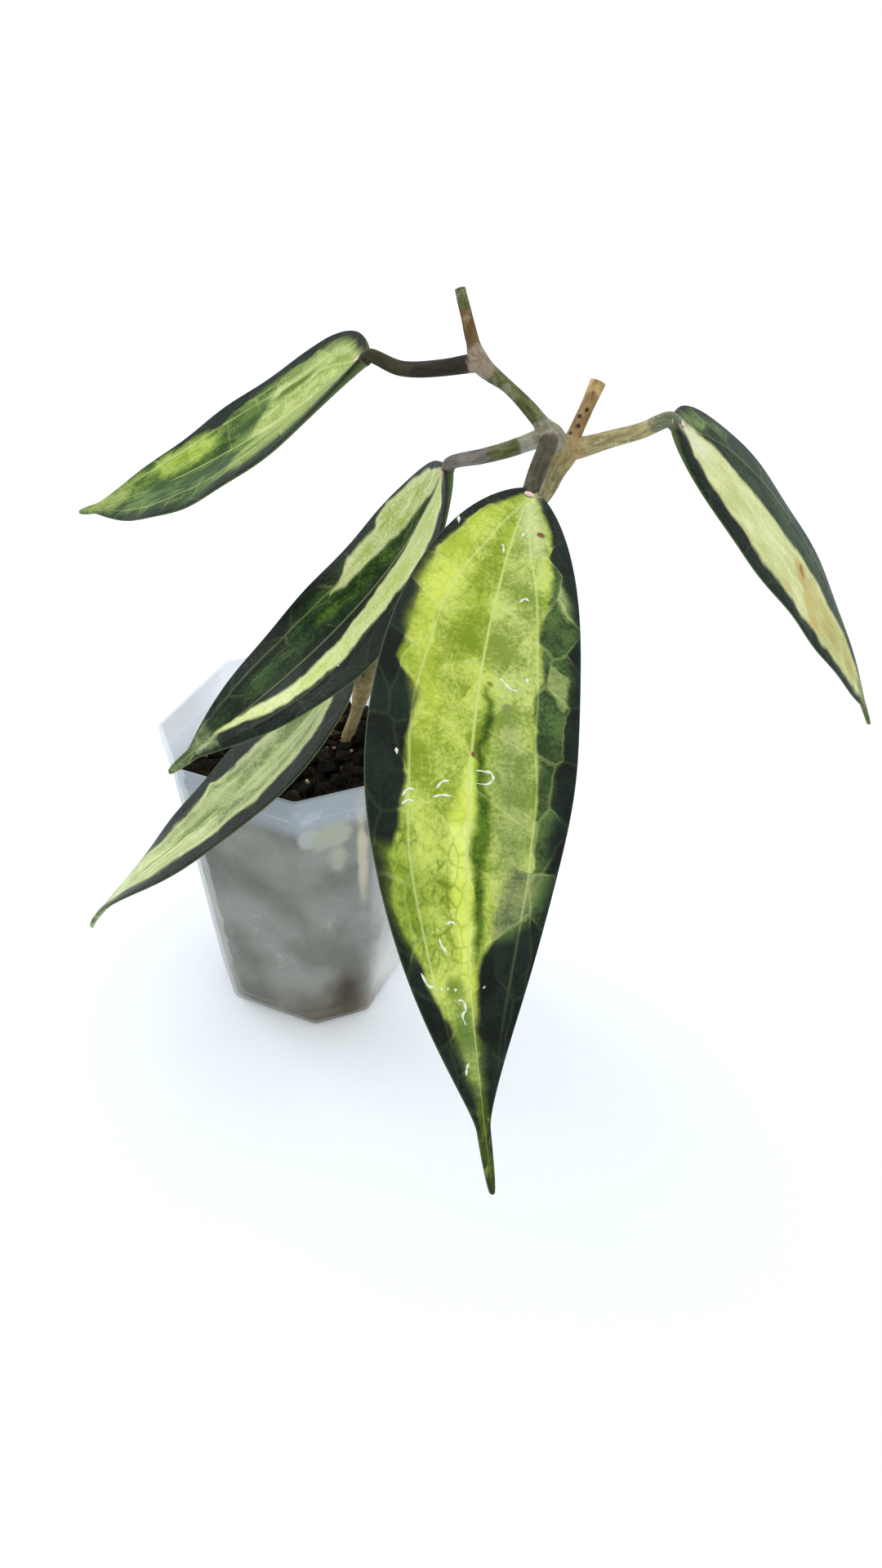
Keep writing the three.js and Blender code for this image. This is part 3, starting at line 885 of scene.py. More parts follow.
def hole_to_edge():
    """Points round a drain hole, and where the rays through them meet the floor quarter's nearest
    side: its two outer sides, the cut-off corner, and the two lines through the pot's middle."""
    rays = circle(full_turn(hole_points, 0.5))
    half = floor_width / 2
    normals = np.array([[1, 0], [0, 1], [1, 1], [-1, 0], [0, -1]])
    limits = np.array([half, half, half * (2 - 2 * corner_share), 0, 0])
    room = limits - normals @ [drain_place, drain_place]
    speed = rays @ normals.T
    reach = np.where(speed > 1e-6, room / np.where(speed > 1e-6, speed, 1), np.inf).min(axis=1)
    return rays * drain_radius + drain_place, rays * reach[:, None] + drain_place


def make_pot_floor():
    """Plate in four quarters, each of which runs round its own hole as a closed band."""
    hole, edge = hole_to_edge()
    band = np.concatenate([
        np.c_[points, np.full(hole_points, height)]
        for points, height in ((hole, floor_low), (edge, floor_low), (edge, floor_thickness),
                               (hole, floor_thickness))
    ])
    quads = ring_quads(4, hole_points)
    quarters = []
    for spin in np.radians(90 * np.arange(4)):
        turn = [[np.cos(spin), np.sin(spin), 0], [-np.sin(spin), np.cos(spin), 0], [0, 0, 1]]
        quarters.append((band @ np.array(turn), quads, no_triangles))
    return make_piece("pot_floor", "pot", *joined(quarters), smooth=False)


pot_floor = make_pot_floor()

# %% [markdown]
# ## The bark mix
# The pot is filled with coarse bark and coir. Through the clear wall it reads as a dark body that
# touches the plastic in some places and leaves hollows in others, and on top it is a bed of loose
# chips. So the body is one closed surface with a pitted side, and the chips, crumbs and fibres on
# top are three bodies of many small shapes, each drawn once from a seed and joined in one mesh.

# %% Fill the pot with a body of mix
soil_top = 96
soil_gap = 0.3
soil_foot = floor_thickness + soil_gap
soil_bevel = 2.3
soil_shoulder = 1.5
side_rows = 84
top_rows = 34
top_shrink = (0.985, 0.04)
ripple_waves = 7
ripple_gain = 1.8
pit_depth = 1.3
pit_ease = 0.35
pit_waves = ((11, 5), (4.5, 6))
top_waves = ((14, 8), (5, 9))
corner_fill = 0.73


def ripples(points, size, seed):
    """Soft bumps of about -1 to 1: the mean of sine waves in random directions, times a gain. The
    waves are about a size long."""
    draw = np.random.default_rng(seed)
    directions = unit(draw.normal(size=(ripple_waves, 3))) * 2 * np.pi / size
    directions = directions * draw.uniform(0.7, 1.6, (ripple_waves, 1))
    phases = draw.uniform(0, 2 * np.pi, ripple_waves)
    return np.sin(points @ directions.T + phases).mean(axis=-1) * ripple_gain


def mix_rings():
    """Rings up the inside of the wall and then inwards over the top, with corners cut back."""
    side_z = np.linspace(soil_foot + soil_bevel, soil_top - soil_shoulder, side_rows)
    side_z = np.concatenate([[soil_foot], side_z])
    side_width = wall_width(side_z) - 2 * (wall + soil_gap)
    side_width[0] -= 2 * soil_bevel
    shrink = np.linspace(*top_shrink, top_rows)
    heights = np.concatenate([side_z[:1], side_z, np.full(top_rows, float(soil_top))])
    widths = np.concatenate([side_width[:1] * 0.3, side_width, side_width[-1] * shrink])
    rings = outline_rings(widths, heights)
    square_sum = np.abs(rings[..., :2]).sum(axis=-1) / widths[:, None]
    rings[..., :2] *= np.minimum(1, corner_fill / square_sum)[..., None]
    return rings, heights, widths


def make_soil():
    """The mix: pits on its sides go inwards, and ripples on its top go up and down. The waves of
    both are pairs of a size in mm and a seed."""
    rings, heights, widths = mix_rings()
    side = (heights > soil_foot + 1) & (heights < soil_top)
    top = heights == soil_top
    broad, fine = (ripples(rings, *wave) for wave in pit_waves)
    pits = broad + 0.5 * fine + pit_ease
    pits = np.clip(pits, 0, 1) * pit_depth
    inwards = 1 - pits / widths[:, None] * 2 * side[:, None]
    rings[..., :2] *= inwards[..., None]
    broad, fine = (ripples(rings, *wave) for wave in top_waves)
    rings[..., 2] += (broad * 0.8 + fine * 0.6) * top[:, None]
    piece = make_piece("soil_body", "soil", with_poles(rings), *loft_faces(*rings.shape[:2]))
    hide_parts("soil")
    return piece


soil = make_soil()

# %% Turn and place many small bodies
soil_room = wall_width(soil_top) - 2 * (wall + soil_gap)


def turned(points, yaw, tilt, lean):
    """Each body of points turned about X, then Y, then Z by its own angles."""
    for axis, angle in ((0, tilt), (1, lean), (2, yaw)):
        first, second = [k for k in range(3) if k != axis]
        a, b = points[..., first].copy(), points[..., second].copy()
        cosine, sine = np.cos(angle)[:, None], np.sin(angle)[:, None]
        points[..., first], points[..., second] = a * cosine - b * sine, a * sine + b * cosine
    return points


def inside_pot(draw, count, width):
    """Even random places in the pot's square, those in the cut-off corners pulled inwards."""
    place = draw.uniform(-width / 2, width / 2, (count, 2))
    sum_limit = width / 2 * (2 - 2 * corner_share)
    over = np.abs(place).sum(axis=1) / sum_limit
    return place / np.maximum(over, 1)[:, None]


print("top of the mix", round(soil_room, 1), "mm wide")

# %% Scatter bark chips and pale crumbs over the top
chip_narrowness = (0.5, 0.9)
chip_roughness = 0.16
chip_tilt = 0.35
chip_margin = 0.8


def seed_shape(subdivisions):
    """Points and triangles of a round ball, as the start of every chip."""
    ball = bmesh.new()
    bmesh.ops.create_icosphere(ball, subdivisions=subdivisions, radius=1)
    points = np.array([vertex.co[:] for vertex in ball.verts])
    triangles = np.array([[vertex.index for vertex in face.verts] for face in ball.faces])
    ball.free()
    return points, triangles


def scatter(name, count, sizes, flatness, height, seed, block):
    """Many chips as one mesh: a ball squared off by a power called block, squashed, roughened,
    turned, and put in place over the mix. sizes, flatness and height are ranges."""
    draw = np.random.default_rng(seed)
    ball, triangles = seed_shape(2)
    shape = np.sign(ball) * np.abs(ball) ** block
    size = draw.uniform(*sizes, (count, 1, 1))
    squash = np.stack([np.ones(count), draw.uniform(*chip_narrowness, count),
                       draw.uniform(*flatness, count)], axis=-1)[:, None]
    rough = 1 + draw.uniform(-chip_roughness, chip_roughness, (count, len(ball), 1))
    pieces = turned(shape * rough * squash * size, draw.uniform(0, 6.3, count),
                    draw.normal(0, chip_tilt, count), draw.normal(0, chip_tilt, count))
    room = soil_room - 2 * sizes[1] * chip_margin
    pieces[..., :2] += inside_pot(draw, count, room)[:, None]
    pieces[..., 2] += soil_top + draw.uniform(*height, count)[:, None]
    faces = (triangles + np.arange(count)[:, None, None] * len(ball)).reshape(-1, 3)
    tone = np.repeat(draw.uniform(0, 1, count), len(ball))
    return make_piece(name, "soil", pieces.reshape(-1, 3), triangles=faces,
                      values={"tone": tone}, smooth=False)


chips = scatter("bark_chips", 330, sizes=(1.8, 4.6), flatness=(0.25, 0.55), height=(-0.6, 2.6),
                seed=21, block=0.62)
crumbs = scatter("pale_crumbs", 60, sizes=(0.5, 1.1), flatness=(0.6, 0.9), height=(1.0, 3.2),
                 seed=22, block=0.9)

# %% Lay coir fibres across the chips
fibre_count = 90
fibre_rows = 9
fibre_sides = 5
fibre_lengths = (6, 20)
fibre_bow = 0.5
fibre_heights = (1.2, 3.6)
fibre_arch = 1.2
fibre_radii = (0.1, 0.26)
fibre_taper = 0.6
fibre_margin = 8


def make_fibres():
    """Thin tubes along bent lines: start + along * length + across * bow * s^2, arched upwards."""
    draw = np.random.default_rng(31)
    share = np.linspace(0, 1, fibre_rows)[None, :, None]
    heading = draw.uniform(0, 2 * np.pi, fibre_count)
    level = 0 * heading
    along = np.stack([np.cos(heading), np.sin(heading), level], axis=-1)[:, None]
    across = np.stack([-np.sin(heading), np.cos(heading), level], axis=-1)[:, None]
    length = draw.uniform(*fibre_lengths, (fibre_count, 1, 1))
    bow = draw.uniform(-fibre_bow, fibre_bow, (fibre_count, 1, 1))
    start = np.c_[inside_pot(draw, fibre_count, soil_room - 2 * fibre_margin), level][:, None]
    path = start + (along * (share - 0.5) + across * bow * (share - 0.5) ** 2 * 2) * length
    path[..., 2] = soil_top + draw.uniform(*fibre_heights, (fibre_count, 1)) \
        + fibre_arch * np.sin(np.pi * share[..., 0] * draw.uniform(0.6, 1.5, (fibre_count, 1)))
    radius = draw.uniform(*fibre_radii, (fibre_count, 1, 1, 1))
    radius = radius * (1 - fibre_taper * share[..., None] ** 2)
    ring = circle_between(across, np.array([0, 0, 1.0]), full_turn(fibre_sides))
    tubes = path[:, :, None] + ring * radius
    quads, fans = loft_faces(fibre_rows, fibre_sides)
    points = np.stack([with_poles(tube) for tube in tubes])
    shift = np.arange(fibre_count)[:, None, None] * points.shape[1]
    return make_piece("coir_fibres", "soil", points.reshape(-1, 3),
                      (quads + shift).reshape(-1, 4), (fans + shift).reshape(-1, 3))


fibres = make_fibres()

# %% [markdown]
# ## The variegated leaves
# A variegated hoya has a pale heart where the tissue lacks green, and a dark margin where it does
# not. The borders jump from one vein cell to the next, because the tissue between veins tends to
# be of one colour. So every leaf is painted in its own coordinates, u across from -1 to 1 and t
# from base to tip: bands with given borders are laid over each other, and the borders are read
# partly at the centre of the vein cell a point lies in. Veins, blotches and a fine grain come on
# top.

# %% Lay out a leaf's finish in millimetres across and along the blade
cell_size = 8.5
cell_stretch = (1.0, 0.68, 1.0)
net_size = 2.5
noise_spacing = 150.0
rim_width = 2.4
open_end = 0.02


class LeafFinish(Finish):
    """The finish of one blade, whose noise is read at a place of its own for every leaf."""

    def __init__(self, name, place_number):
        super().__init__(name + "_leaf")
        self.length = leaves[name]["length"]
        seed = place_number * noise_spacing
        self.u = self.split(self.attribute("blade", "Vector"))
        self.t = self.u.out("Y")
        self.half = self.u.out("Z")
        self.x = self.u * self.half
        flat = {"X": self.x + seed, "Y": self.t * self.length}
        self.flat = self.add("ShaderNodeCombineXYZ", {}, flat)
        self.bent = self.shifted(self.shifted(self.flat, 10, 4.2), 2.4, 0.7)
        self.bent_x = self.split(self.bent) - seed
        self.bent_y = self.split(self.bent).out("Y")
        self.cloud = self.noise(self.bent, 9, 5, 0.6)
        self.grain = self.noise(self.flat, 0.9, 3, 0.7)
        self.streak = self.noise(self.stretched(self.bent, (1, 0.16, 1)), 2.6, 4, 0.6)
        tissue = self.cells({}, cell_size, "Position")
        self.tissue_tone = self.split(tissue.out("Color"))
        centre = self.vectors("DIVIDE", tissue, cell_stretch)
        self.centre_x = self.split(centre) - seed
        self.centre_y = self.split(centre).out("Y")
        to_edge = {"feature": "DISTANCE_TO_EDGE"}
        self.loops = self.cells(to_edge, cell_size, "Distance")
        self.net = self.cells(to_edge, net_size, "Distance")

    def shifted(self, place, size, amount):
        """Places pushed about by noise of a size, by up to about half the amount in mm."""
        inputs = {"Vector": place, "Scale": 1 / size, "Detail": 2}
        push = self.add("ShaderNodeTexNoise", {}, inputs, output="Color")
        push = self.vectors("SUBTRACT", push, (0.5, 0.5, 0.5))
        return self.vectors("ADD", place, self.stretched(push, (amount, amount, 0)))

    def cells(self, settings, size, output):
        """Irregular cells of a size in mm, longer along the blade than across it."""
        settings = {"voronoi_dimensions": "2D", **settings}
        inputs = {"Vector": self.stretched(self.bent, cell_stretch), "Scale": 1 / size}
        return self.add("ShaderNodeTexVoronoi", settings, inputs, output=output)

    def band(self, borders, soft, jump):
        """1 between two borders given as (t, low u, high u), and 1 along their inner rim. A border
        fades over soft mm to both sides, and jump is the cells' say in where it runs."""
        x = self.bent_x + (self.centre_x - self.bent_x) * jump
        y = self.bent_y + (self.centre_y - self.bent_y) * jump
        stops = [(t, ((low + 1) / 2, (high + 1) / 2, 0)) for t, low, high in borders]
        ramp = self.add("ShaderNodeValToRGB", {"stops": stops}, {"Fac": y / self.length})
        ends = self.split(ramp)
        low, high = (end * 2 - 1 for end in (ends, ends.out("Y")))
        depth = (x - low * self.half).least(high * self.half - x)
        if borders[0][0] > open_end:
            depth = depth.least(y - borders[0][0] * self.length)
        if borders[-1][0] < 1:
            depth = depth.least(borders[-1][0] * self.length - y)
        inside = self.step(depth, -soft, soft)
        return inside, inside * self.step(depth, soft + rim_width, soft * 0.4)


# %% Draw the veins
midrib_half_width = 0.3
side_vein_half_width = 0.45
cross_vein_half_width = 0.42
cross_vein_spacing = 15
cross_vein_slant = 0.55
vein_swing = 3
side_vein_stops = [(float(t), (float(side_vein_place(t)),) * 3) for t in np.linspace(0, 1, 12)]


def vein_line(f, distance, width):
    """1 on a line and 0 further than its width from it, in mm."""
    return f.step(abs(distance), width, width * 0.25)


def draw_veins(f):
    """Midrib, two side veins and slanting cross veins, as shares from 0 to 1."""
    t = f.t
    swing = (f.noise(f.flat, 30, 1) - 0.5) * vein_swing
    width = f.step(t, 0.95, 0.3) * midrib_half_width + midrib_half_width
    midrib = vein_line(f, f.x + swing * 0.3, width) * f.step(t, 1.0, 0.85)
    place = f.add("ShaderNodeValToRGB", {"stops": side_vein_stops}, {"Fac": t})
    side = abs(f.x) - f.split(place) * f.half + swing
    side_vein = vein_line(f, side, side_vein_half_width) * f.step(t, 0.86, 0.7)
    slant = (t * f.length - abs(f.x) * cross_vein_slant + swing * 2) / cross_vein_spacing
    cross = abs(slant.maths("FRACT", slant) - 0.5) * cross_vein_spacing
    inner = f.step(side, 0.6, -0.6) * f.step(t, 0.16, 0.24) * f.step(t, 0.7, 0.55)
    cross_vein = vein_line(f, cross, cross_vein_half_width) * inner * f.step(f.cloud, 0.4, 0.6)
    return midrib, side_vein, cross_vein


print("side veins end at a share of", round(side_vein_stops[-1][1][0], 2), "of the half width")

# %% Lay the bands over each other and add veins, blotches and spots
margin = ((9, 21, 14), (26, 43, 32))
underside = (150, 170, 112)
vein_colour = (208, 224, 142)
net_colour = (74, 104, 22)
rim_colour = (236, 244, 188)
margin_strength = 0.035
rim_strength = 0.7
underside_share = 0.45


def lay_bands(f, blotch, bands, rim_share):
    """Dark margin, then bands of (colours, borders, softness, jump, vein strength) over it. Bands
    with strong veins can have a pale rim. Also gives how strongly the veins show."""
    colour = f.mix(blotch, *margin)
    strength = margin_strength
    for colours, borders, soft, jump, vein_strength in bands:
        inside, rim = f.band(borders, soft, jump)
        band_colour = f.mix(blotch, *colours)
        if rim_share and vein_strength > rim_strength:
            band_colour = f.mix(rim * rim_share, band_colour, rim_colour)
        colour = f.mix(inside, colour, band_colour)
        strength = strength + (vein_strength - strength) * inside
    return colour, strength


def lay_veins(f, colour, strength, netted):
    """The fine green net, strongest inside the netted borders, and the pale veins over it."""
    net = f.step(f.net, 0.16, 0.02) * strength
    net = net * (0.1 + 0.42 * f.band(netted, 4, 0)[0] * f.step(f.cloud, 0.62, 0.42))
    colour = f.mix(net, colour, net_colour)
    midrib, side_vein, cross_vein = draw_veins(f)
    outer_loops = f.step(f.loops, 0.05, 0.02) * f.step(abs(f.u), 0.3, 0.62)
    midrib = midrib * (strength * 0.54 + 0.21)
    side_vein = side_vein * (strength * 0.49 + 0.06)
    fine_veins = (cross_vein * 0.34).most(outer_loops * (0.6 - strength * 0.4)) * strength
    return f.mix(midrib.most(side_vein).most(fine_veins), colour, vein_colour)


def paint_leaf(name, place_number, bands, spots, streaky, netted, rim_share=0.0, gloss=0.12):
    """Blotched bands, veins and spots of (u, t, size across, size along, colour), with a paler
    under side. streaky is the share of streaks in the blotches."""
    f = LeafFinish(name, place_number)
    blotch = f.cloud * (0.7 - streaky) + f.streak * streaky + f.tissue_tone * 0.08
    blotch = f.step(blotch + f.grain * 0.34, 0.47, 0.67)
    colour, strength = lay_bands(f, blotch, bands, rim_share)
    colour = lay_veins(f, colour, strength, netted)
    for u, t, across, along, spot_colour in spots:
        dx = (f.bent_x - f.half * u) / across
        dy = (f.bent_y - t * f.length) / along
        colour = f.mix(f.step(dx * dx + dy * dy, 1.9, 0.1), colour, spot_colour)
    face = f.attribute("face")
    colour = f.mix(face, f.mix(underside_share, colour, underside), colour)
    rough = f.grain * 0.14 + (1 - face) * 0.2 + 0.34
    height = f.step(f.net, 0.0, 0.22) * 0.35 + f.grain * 0.5 + f.cloud * 0.8
    return f.surface(height, 0.35, 0.0003, Base_Color=colour, Roughness=rough,
                     Specular_IOR_Level=gloss)


# %% Paint the front leaf
lime = ((134, 158, 38), (202, 220, 104))
pale_olive = ((132, 156, 60), (200, 217, 122))
front_bands = [
    (((40, 64, 30), (92, 118, 62)),
     [(0.09, 0.5, 0.66), (0.13, 0.5, 0.8), (0.2, 0.4, 0.9), (0.3, 0.4, 0.88), (0.37, 0.4, 0.85),
      (0.42, 0.4, 0.8), (0.47, 0.4, 0.84), (0.56, 0.4, 0.84), (0.62, 0.4, 0.96),
      (0.67, 0.3, 0.94), (0.7, 0.3, 0.6)],
     1.3, 0.4, 0.35),
    (lime, [(0.008, -0.1, 0.1), (0.02, -0.42, 0.38), (0.05, -0.64, 0.57), (0.1, -0.8, 0.64),
            (0.15, -0.85, 0.64), (0.2, -0.86, 0.62), (0.235, -0.84, 0.57), (0.3, -0.8, 0.55),
            (0.35, -0.83, 0.55), (0.37, -0.7, 0.57), (0.385, -0.58, 0.58), (0.45, -0.6, 0.6),
            (0.5, -0.65, 0.62), (0.56, -0.7, 0.64), (0.59, -0.84, 0.68), (0.66, -0.87, 0.66),
            (0.68, -0.84, 0.42), (0.7, -0.78, 0.24), (0.72, -0.72, 0.12), (0.77, -0.58, 0.08),
            (0.79, -0.44, 0.03), (0.82, -0.32, 0.0), (0.86, -0.24, 0.0)],
     0.8, 0.06, 1.0),
    (((176, 196, 62), (212, 228, 100)),
     [(0.05, -0.5, -0.3), (0.1, -0.74, -0.45), (0.2, -0.82, -0.52), (0.3, -0.78, -0.52),
      (0.38, -0.6, -0.4), (0.42, -0.5, -0.4), (0.45, -0.45, -0.4)], 2.6, 0.2, 1.0),
    (((124, 150, 30), (172, 194, 66)),
     [(0.06, -0.16, -0.08), (0.1, -0.22, -0.03), (0.15, -0.2, -0.02), (0.19, -0.3, -0.1),
      (0.3, -0.34, -0.06), (0.33, -0.3, -0.2)], 1.8, 0.2, 0.9),
    (pale_olive, [(0.03, 0.05, 0.34), (0.1, 0.04, 0.54), (0.3, 0.05, 0.54), (0.36, 0.14, 0.56),
                  (0.45, 0.18, 0.59), (0.55, 0.22, 0.62), (0.62, 0.3, 0.64), (0.67, 0.44, 0.5)],
     1.2, 0.12, 1.0),
    (((120, 144, 66), (172, 190, 112)),
     [(0.4, 0.24, 0.3), (0.46, 0.22, 0.56), (0.58, 0.3, 0.58), (0.6, 0.35, 0.4)], 2.5, 0.2, 1.0),
    (((214, 232, 92), (232, 248, 138)),
     [(0.46, -0.04, 0.04), (0.54, -0.16, 0.06), (0.6, -0.2, 0.07), (0.68, -0.2, 0.08),
      (0.76, -0.16, 0.06), (0.8, -0.1, 0.0)], 1.6, 0.05, 1.0),
    (((104, 132, 60), (156, 178, 98)),
     [(0.74, -0.2, -0.15), (0.78, -0.4, 0.05), (0.82, -0.36, 0.02), (0.86, -0.26, 0.02),
      (0.89, -0.2, -0.1)], 2.0, 0.1, 0.9),
    (((200, 214, 140), (226, 236, 176)),
     [(0.02, 0.04, 0.3), (0.06, 0.06, 0.46), (0.1, 0.2, 0.46), (0.13, 0.3, 0.42)], 2.2, 0.1, 1.0),
    (((112, 142, 30), (150, 178, 58)),
     [(0.59, -0.84, -0.6), (0.62, -0.86, -0.5), (0.66, -0.86, -0.52), (0.7, -0.76, -0.6)],
     2.6, 0.2, 1.0),
    (((44, 76, 10), (98, 130, 30)),
     [(0.36, 0.06, 0.08), (0.4, 0.06, 0.15), (0.44, 0.07, 0.12), (0.5, 0.07, 0.17),
      (0.57, 0.07, 0.24), (0.6, 0.08, 0.2), (0.66, 0.09, 0.25), (0.69, 0.08, 0.2),
      (0.72, 0.08, 0.1)], 1.0, 0.06, 0.7),
    (((104, 128, 80), (170, 186, 118)),
     [(0.12, 0.62, 0.66), (0.15, 0.66, 0.78), (0.19, 0.7, 0.88), (0.22, 0.78, 0.88),
      (0.23, 0.82, 0.84)], 0.8, 0.4, 0.8),
    (((114, 136, 78), (156, 176, 104)),
     [(0.315, 0.74, 0.76), (0.325, 0.7, 0.85), (0.365, 0.74, 0.85), (0.375, 0.8, 0.82)],
     0.4, 0.3, 0.8),
    (((84, 100, 64), (142, 156, 100)),
     [(0.58, 0.5, 0.6), (0.61, 0.4, 0.9), (0.66, 0.36, 0.92), (0.68, 0.4, 0.7)], 1.0, 0.5, 0.8),
    (((50, 66, 10), (90, 108, 28)),
     [(0.875, -0.5, 0.3), (0.9, -0.7, 0.6), (0.94, -0.8, 0.75), (1.0, -0.9, 0.9)],
     0.6, 0.0, 0.6),
]
front_spots = [
    (0.42, 0.088, 1.0, 1.0, (108, 58, 38)), (0.43, 0.09, 0.5, 0.4, (150, 92, 66)),
    (0.03, 0.455, 0.7, 0.6, (128, 80, 48)), (0.1, 0.352, 0.6, 0.6, (144, 134, 64)),
    (0.28, 0.385, 1.4, 1.1, (134, 146, 84)), (-0.3, 0.74, 1.6, 1.8, (126, 152, 52)),
]
front_netted = [(0.55, -0.85, -0.1), (0.62, -0.85, -0.12), (0.7, -0.8, -0.12), (0.8, -0.4, -0.1)]
front_finish = paint_leaf("front", 1, front_bands, front_spots, 0.12, front_netted)

# %% Paint the middle leaf
faint_net = [(0.45, -0.1, 0.1), (0.55, -0.1, 0.1)]
middle_bands = [
    (((20, 42, 20), (68, 98, 52)),
     [(0.2, -0.9, 0.0), (0.3, -0.8, -0.05), (0.45, -0.75, -0.1), (0.6, -0.6, -0.15),
      (0.75, -0.5, -0.2), (0.84, -0.5, -0.2)], 3.4, 0.1, 0.3),
    (((180, 200, 84), (250, 255, 196)),
     [(0.01, -0.2, -0.05), (0.05, -0.78, -0.09), (0.12, -0.87, -0.14), (0.2, -0.93, -0.26),
      (0.245, -0.86, -0.32), (0.26, -0.74, -0.34), (0.35, -0.8, -0.4), (0.38, -0.68, -0.44),
      (0.4, -0.6, -0.48), (0.44, -0.56, -0.53)], 0.9, 0.06, 1.0),
    (((30, 52, 16), (100, 136, 46)),
     [(0.04, -0.09, -0.05), (0.1, -0.16, -0.04), (0.15, -0.24, -0.02), (0.2, -0.28, -0.02),
      (0.26, -0.3, -0.08), (0.34, -0.38, -0.18), (0.5, -0.42, -0.26)], 1.1, 0.0, 0.4),
    (((206, 226, 122), (240, 250, 182)),
     [(0.01, -0.05, 0.3), (0.05, -0.02, 0.68), (0.1, 0.0, 0.7), (0.2, 0.04, 0.6),
      (0.3, 0.1, 0.54), (0.42, 0.17, 0.54), (0.5, 0.22, 0.56), (0.6, 0.25, 0.58),
      (0.65, 0.25, 0.56), (0.72, 0.2, 0.54), (0.77, 0.12, 0.46), (0.8, 0.02, 0.3),
      (0.83, -0.1, 0.16), (0.86, -0.1, 0.0)], 0.8, 0.03, 1.0),
    # The last two bands are the tip: its dark green painted lighter and greyer for the sheen on it,
    # and over it a pale grey-green streak that is a painted highlight along the folded edge.
    (((82, 104, 66), (142, 158, 112)),
     [(0.86, -0.9, 0.3), (0.88, -0.9, 0.7), (0.94, -0.9, 0.9), (1.0, -0.95, 0.95)],
     1.6, 0.1, 0.6),
    (((150, 166, 120), (192, 206, 166)),
     [(0.855, -0.1, 0.1), (0.88, 0.0, 0.24), (0.9, 0.14, 0.4), (0.92, 0.4, 0.7)],
     0.8, 0.0, 0.6),
]
middle_finish = paint_leaf("middle", 2, middle_bands, [], 0.35, faint_net, 0.6)

# %% Paint the upper leaf
upper_bands = [
    (((52, 84, 26), (126, 154, 68)),
     [(0.015, -0.3, 0.3), (0.04, -0.72, 0.6), (0.1, -0.8, 0.76), (0.3, -0.8, 0.8),
      (0.38, -0.74, 0.78), (0.45, -0.6, 0.76), (0.52, -0.62, 0.76), (0.6, -0.76, 0.74),
      (0.7, -0.9, 0.66), (0.85, -0.95, 0.62), (0.93, -0.9, 0.7), (1.0, -0.9, 0.9)],
     1.8, 0.1, 0.7),
    (((136, 160, 72), (198, 214, 138)),
     [(0.02, -0.4, 0.0), (0.06, -0.74, 0.1), (0.2, -0.7, 0.16), (0.28, -0.62, 0.2),
      (0.34, -0.4, 0.0), (0.37, -0.3, -0.2)], 3.4, 0.05, 0.9),
    (((102, 132, 44), (160, 182, 88)),
     [(0.03, 0.1, 0.4), (0.1, 0.1, 0.66), (0.24, 0.14, 0.72), (0.32, 0.2, 0.7),
      (0.36, 0.3, 0.5)], 4.0, 0.05, 0.8),
    (((40, 68, 28), (100, 130, 68)),
     [(0.34, 0.2, 0.5), (0.4, 0.05, 0.8), (0.6, -0.1, 0.78), (0.78, -0.1, 0.7),
      (0.84, 0.1, 0.5)], 5.0, 0.0, 0.45),
    (((40, 66, 26), (98, 126, 56)),
     [(0.3, -0.5, -0.35), (0.34, -0.62, -0.1), (0.42, -0.56, 0.0), (0.48, -0.4, -0.1),
      (0.5, -0.3, -0.2)], 3.0, 0.05, 0.5),
    (((112, 146, 20), (180, 204, 54)),
     [(0.47, -0.45, -0.3), (0.52, -0.6, -0.16), (0.6, -0.7, -0.14), (0.66, -0.76, -0.3),
      (0.7, -0.8, -0.6)], 2.6, 0.05, 0.9),
    (((92, 122, 36), (162, 186, 84)),
     [(0.78, -0.5, 0.0), (0.84, -0.8, 0.4), (0.88, -0.85, 0.5), (0.93, -0.9, 0.7),
      (1.0, -0.9, 0.9)], 3.4, 0.0, 0.8),
]
upper_spots = [(-0.42, 0.22, 1.4, 9.0, (92, 120, 46)), (-0.3, 0.36, 1.4, 5.0, (58, 86, 36)),
               (0.25, 0.45, 3.0, 6.0, (50, 78, 40)), (0.05, 0.65, 2.4, 6.0, (56, 84, 42))]
upper_finish = paint_leaf("upper", 3, upper_bands, upper_spots, 0.4, faint_net, 0.2, 0.03)

# %% Paint the lower leaf
lower_bands = [
    (((104, 128, 72), (174, 192, 132)),
     [(0.01, -0.15, 0.1), (0.04, -0.46, 0.3), (0.08, -0.5, 0.42), (0.13, -0.52, 0.54),
      (0.2, -0.53, 0.6), (0.35, -0.55, 0.68), (0.4, -0.62, 0.66), (0.42, -0.76, 0.66),
      (0.45, -0.62, 0.66), (0.5, -0.56, 0.64), (0.6, -0.56, 0.6), (0.65, -0.6, 0.62),
      (0.72, -0.66, 0.6), (0.8, -0.7, 0.56), (0.88, -0.6, 0.4), (0.93, -0.4, 0.2)],
     1.0, 0.04, 1.0),
    (((98, 124, 58), (154, 174, 106)),
     [(0.05, -0.02, 0.1), (0.1, -0.03, 0.3), (0.25, -0.02, 0.36), (0.36, 0.0, 0.34),
      (0.42, 0.05, 0.1)], 2.4, 0.1, 0.8),
    (((104, 130, 58), (164, 184, 112)),
     [(0.34, -0.36, -0.2), (0.42, -0.44, -0.14), (0.52, -0.42, -0.16), (0.58, -0.36, -0.2)],
     2.6, 0.1, 0.8),
    (((148, 170, 86), (204, 218, 150)),
     [(0.44, 0.1, 0.3), (0.54, 0.0, 0.5), (0.62, -0.3, 0.52), (0.7, -0.6, 0.52),
      (0.86, -0.56, 0.4)], 4.0, 0.0, 1.0),
    (((70, 98, 50), (118, 142, 82)),
     [(0.88, -0.3, 0.3), (0.92, -0.7, 0.7), (1.0, -0.9, 0.9)], 0.8, 0.0, 0.9),
]
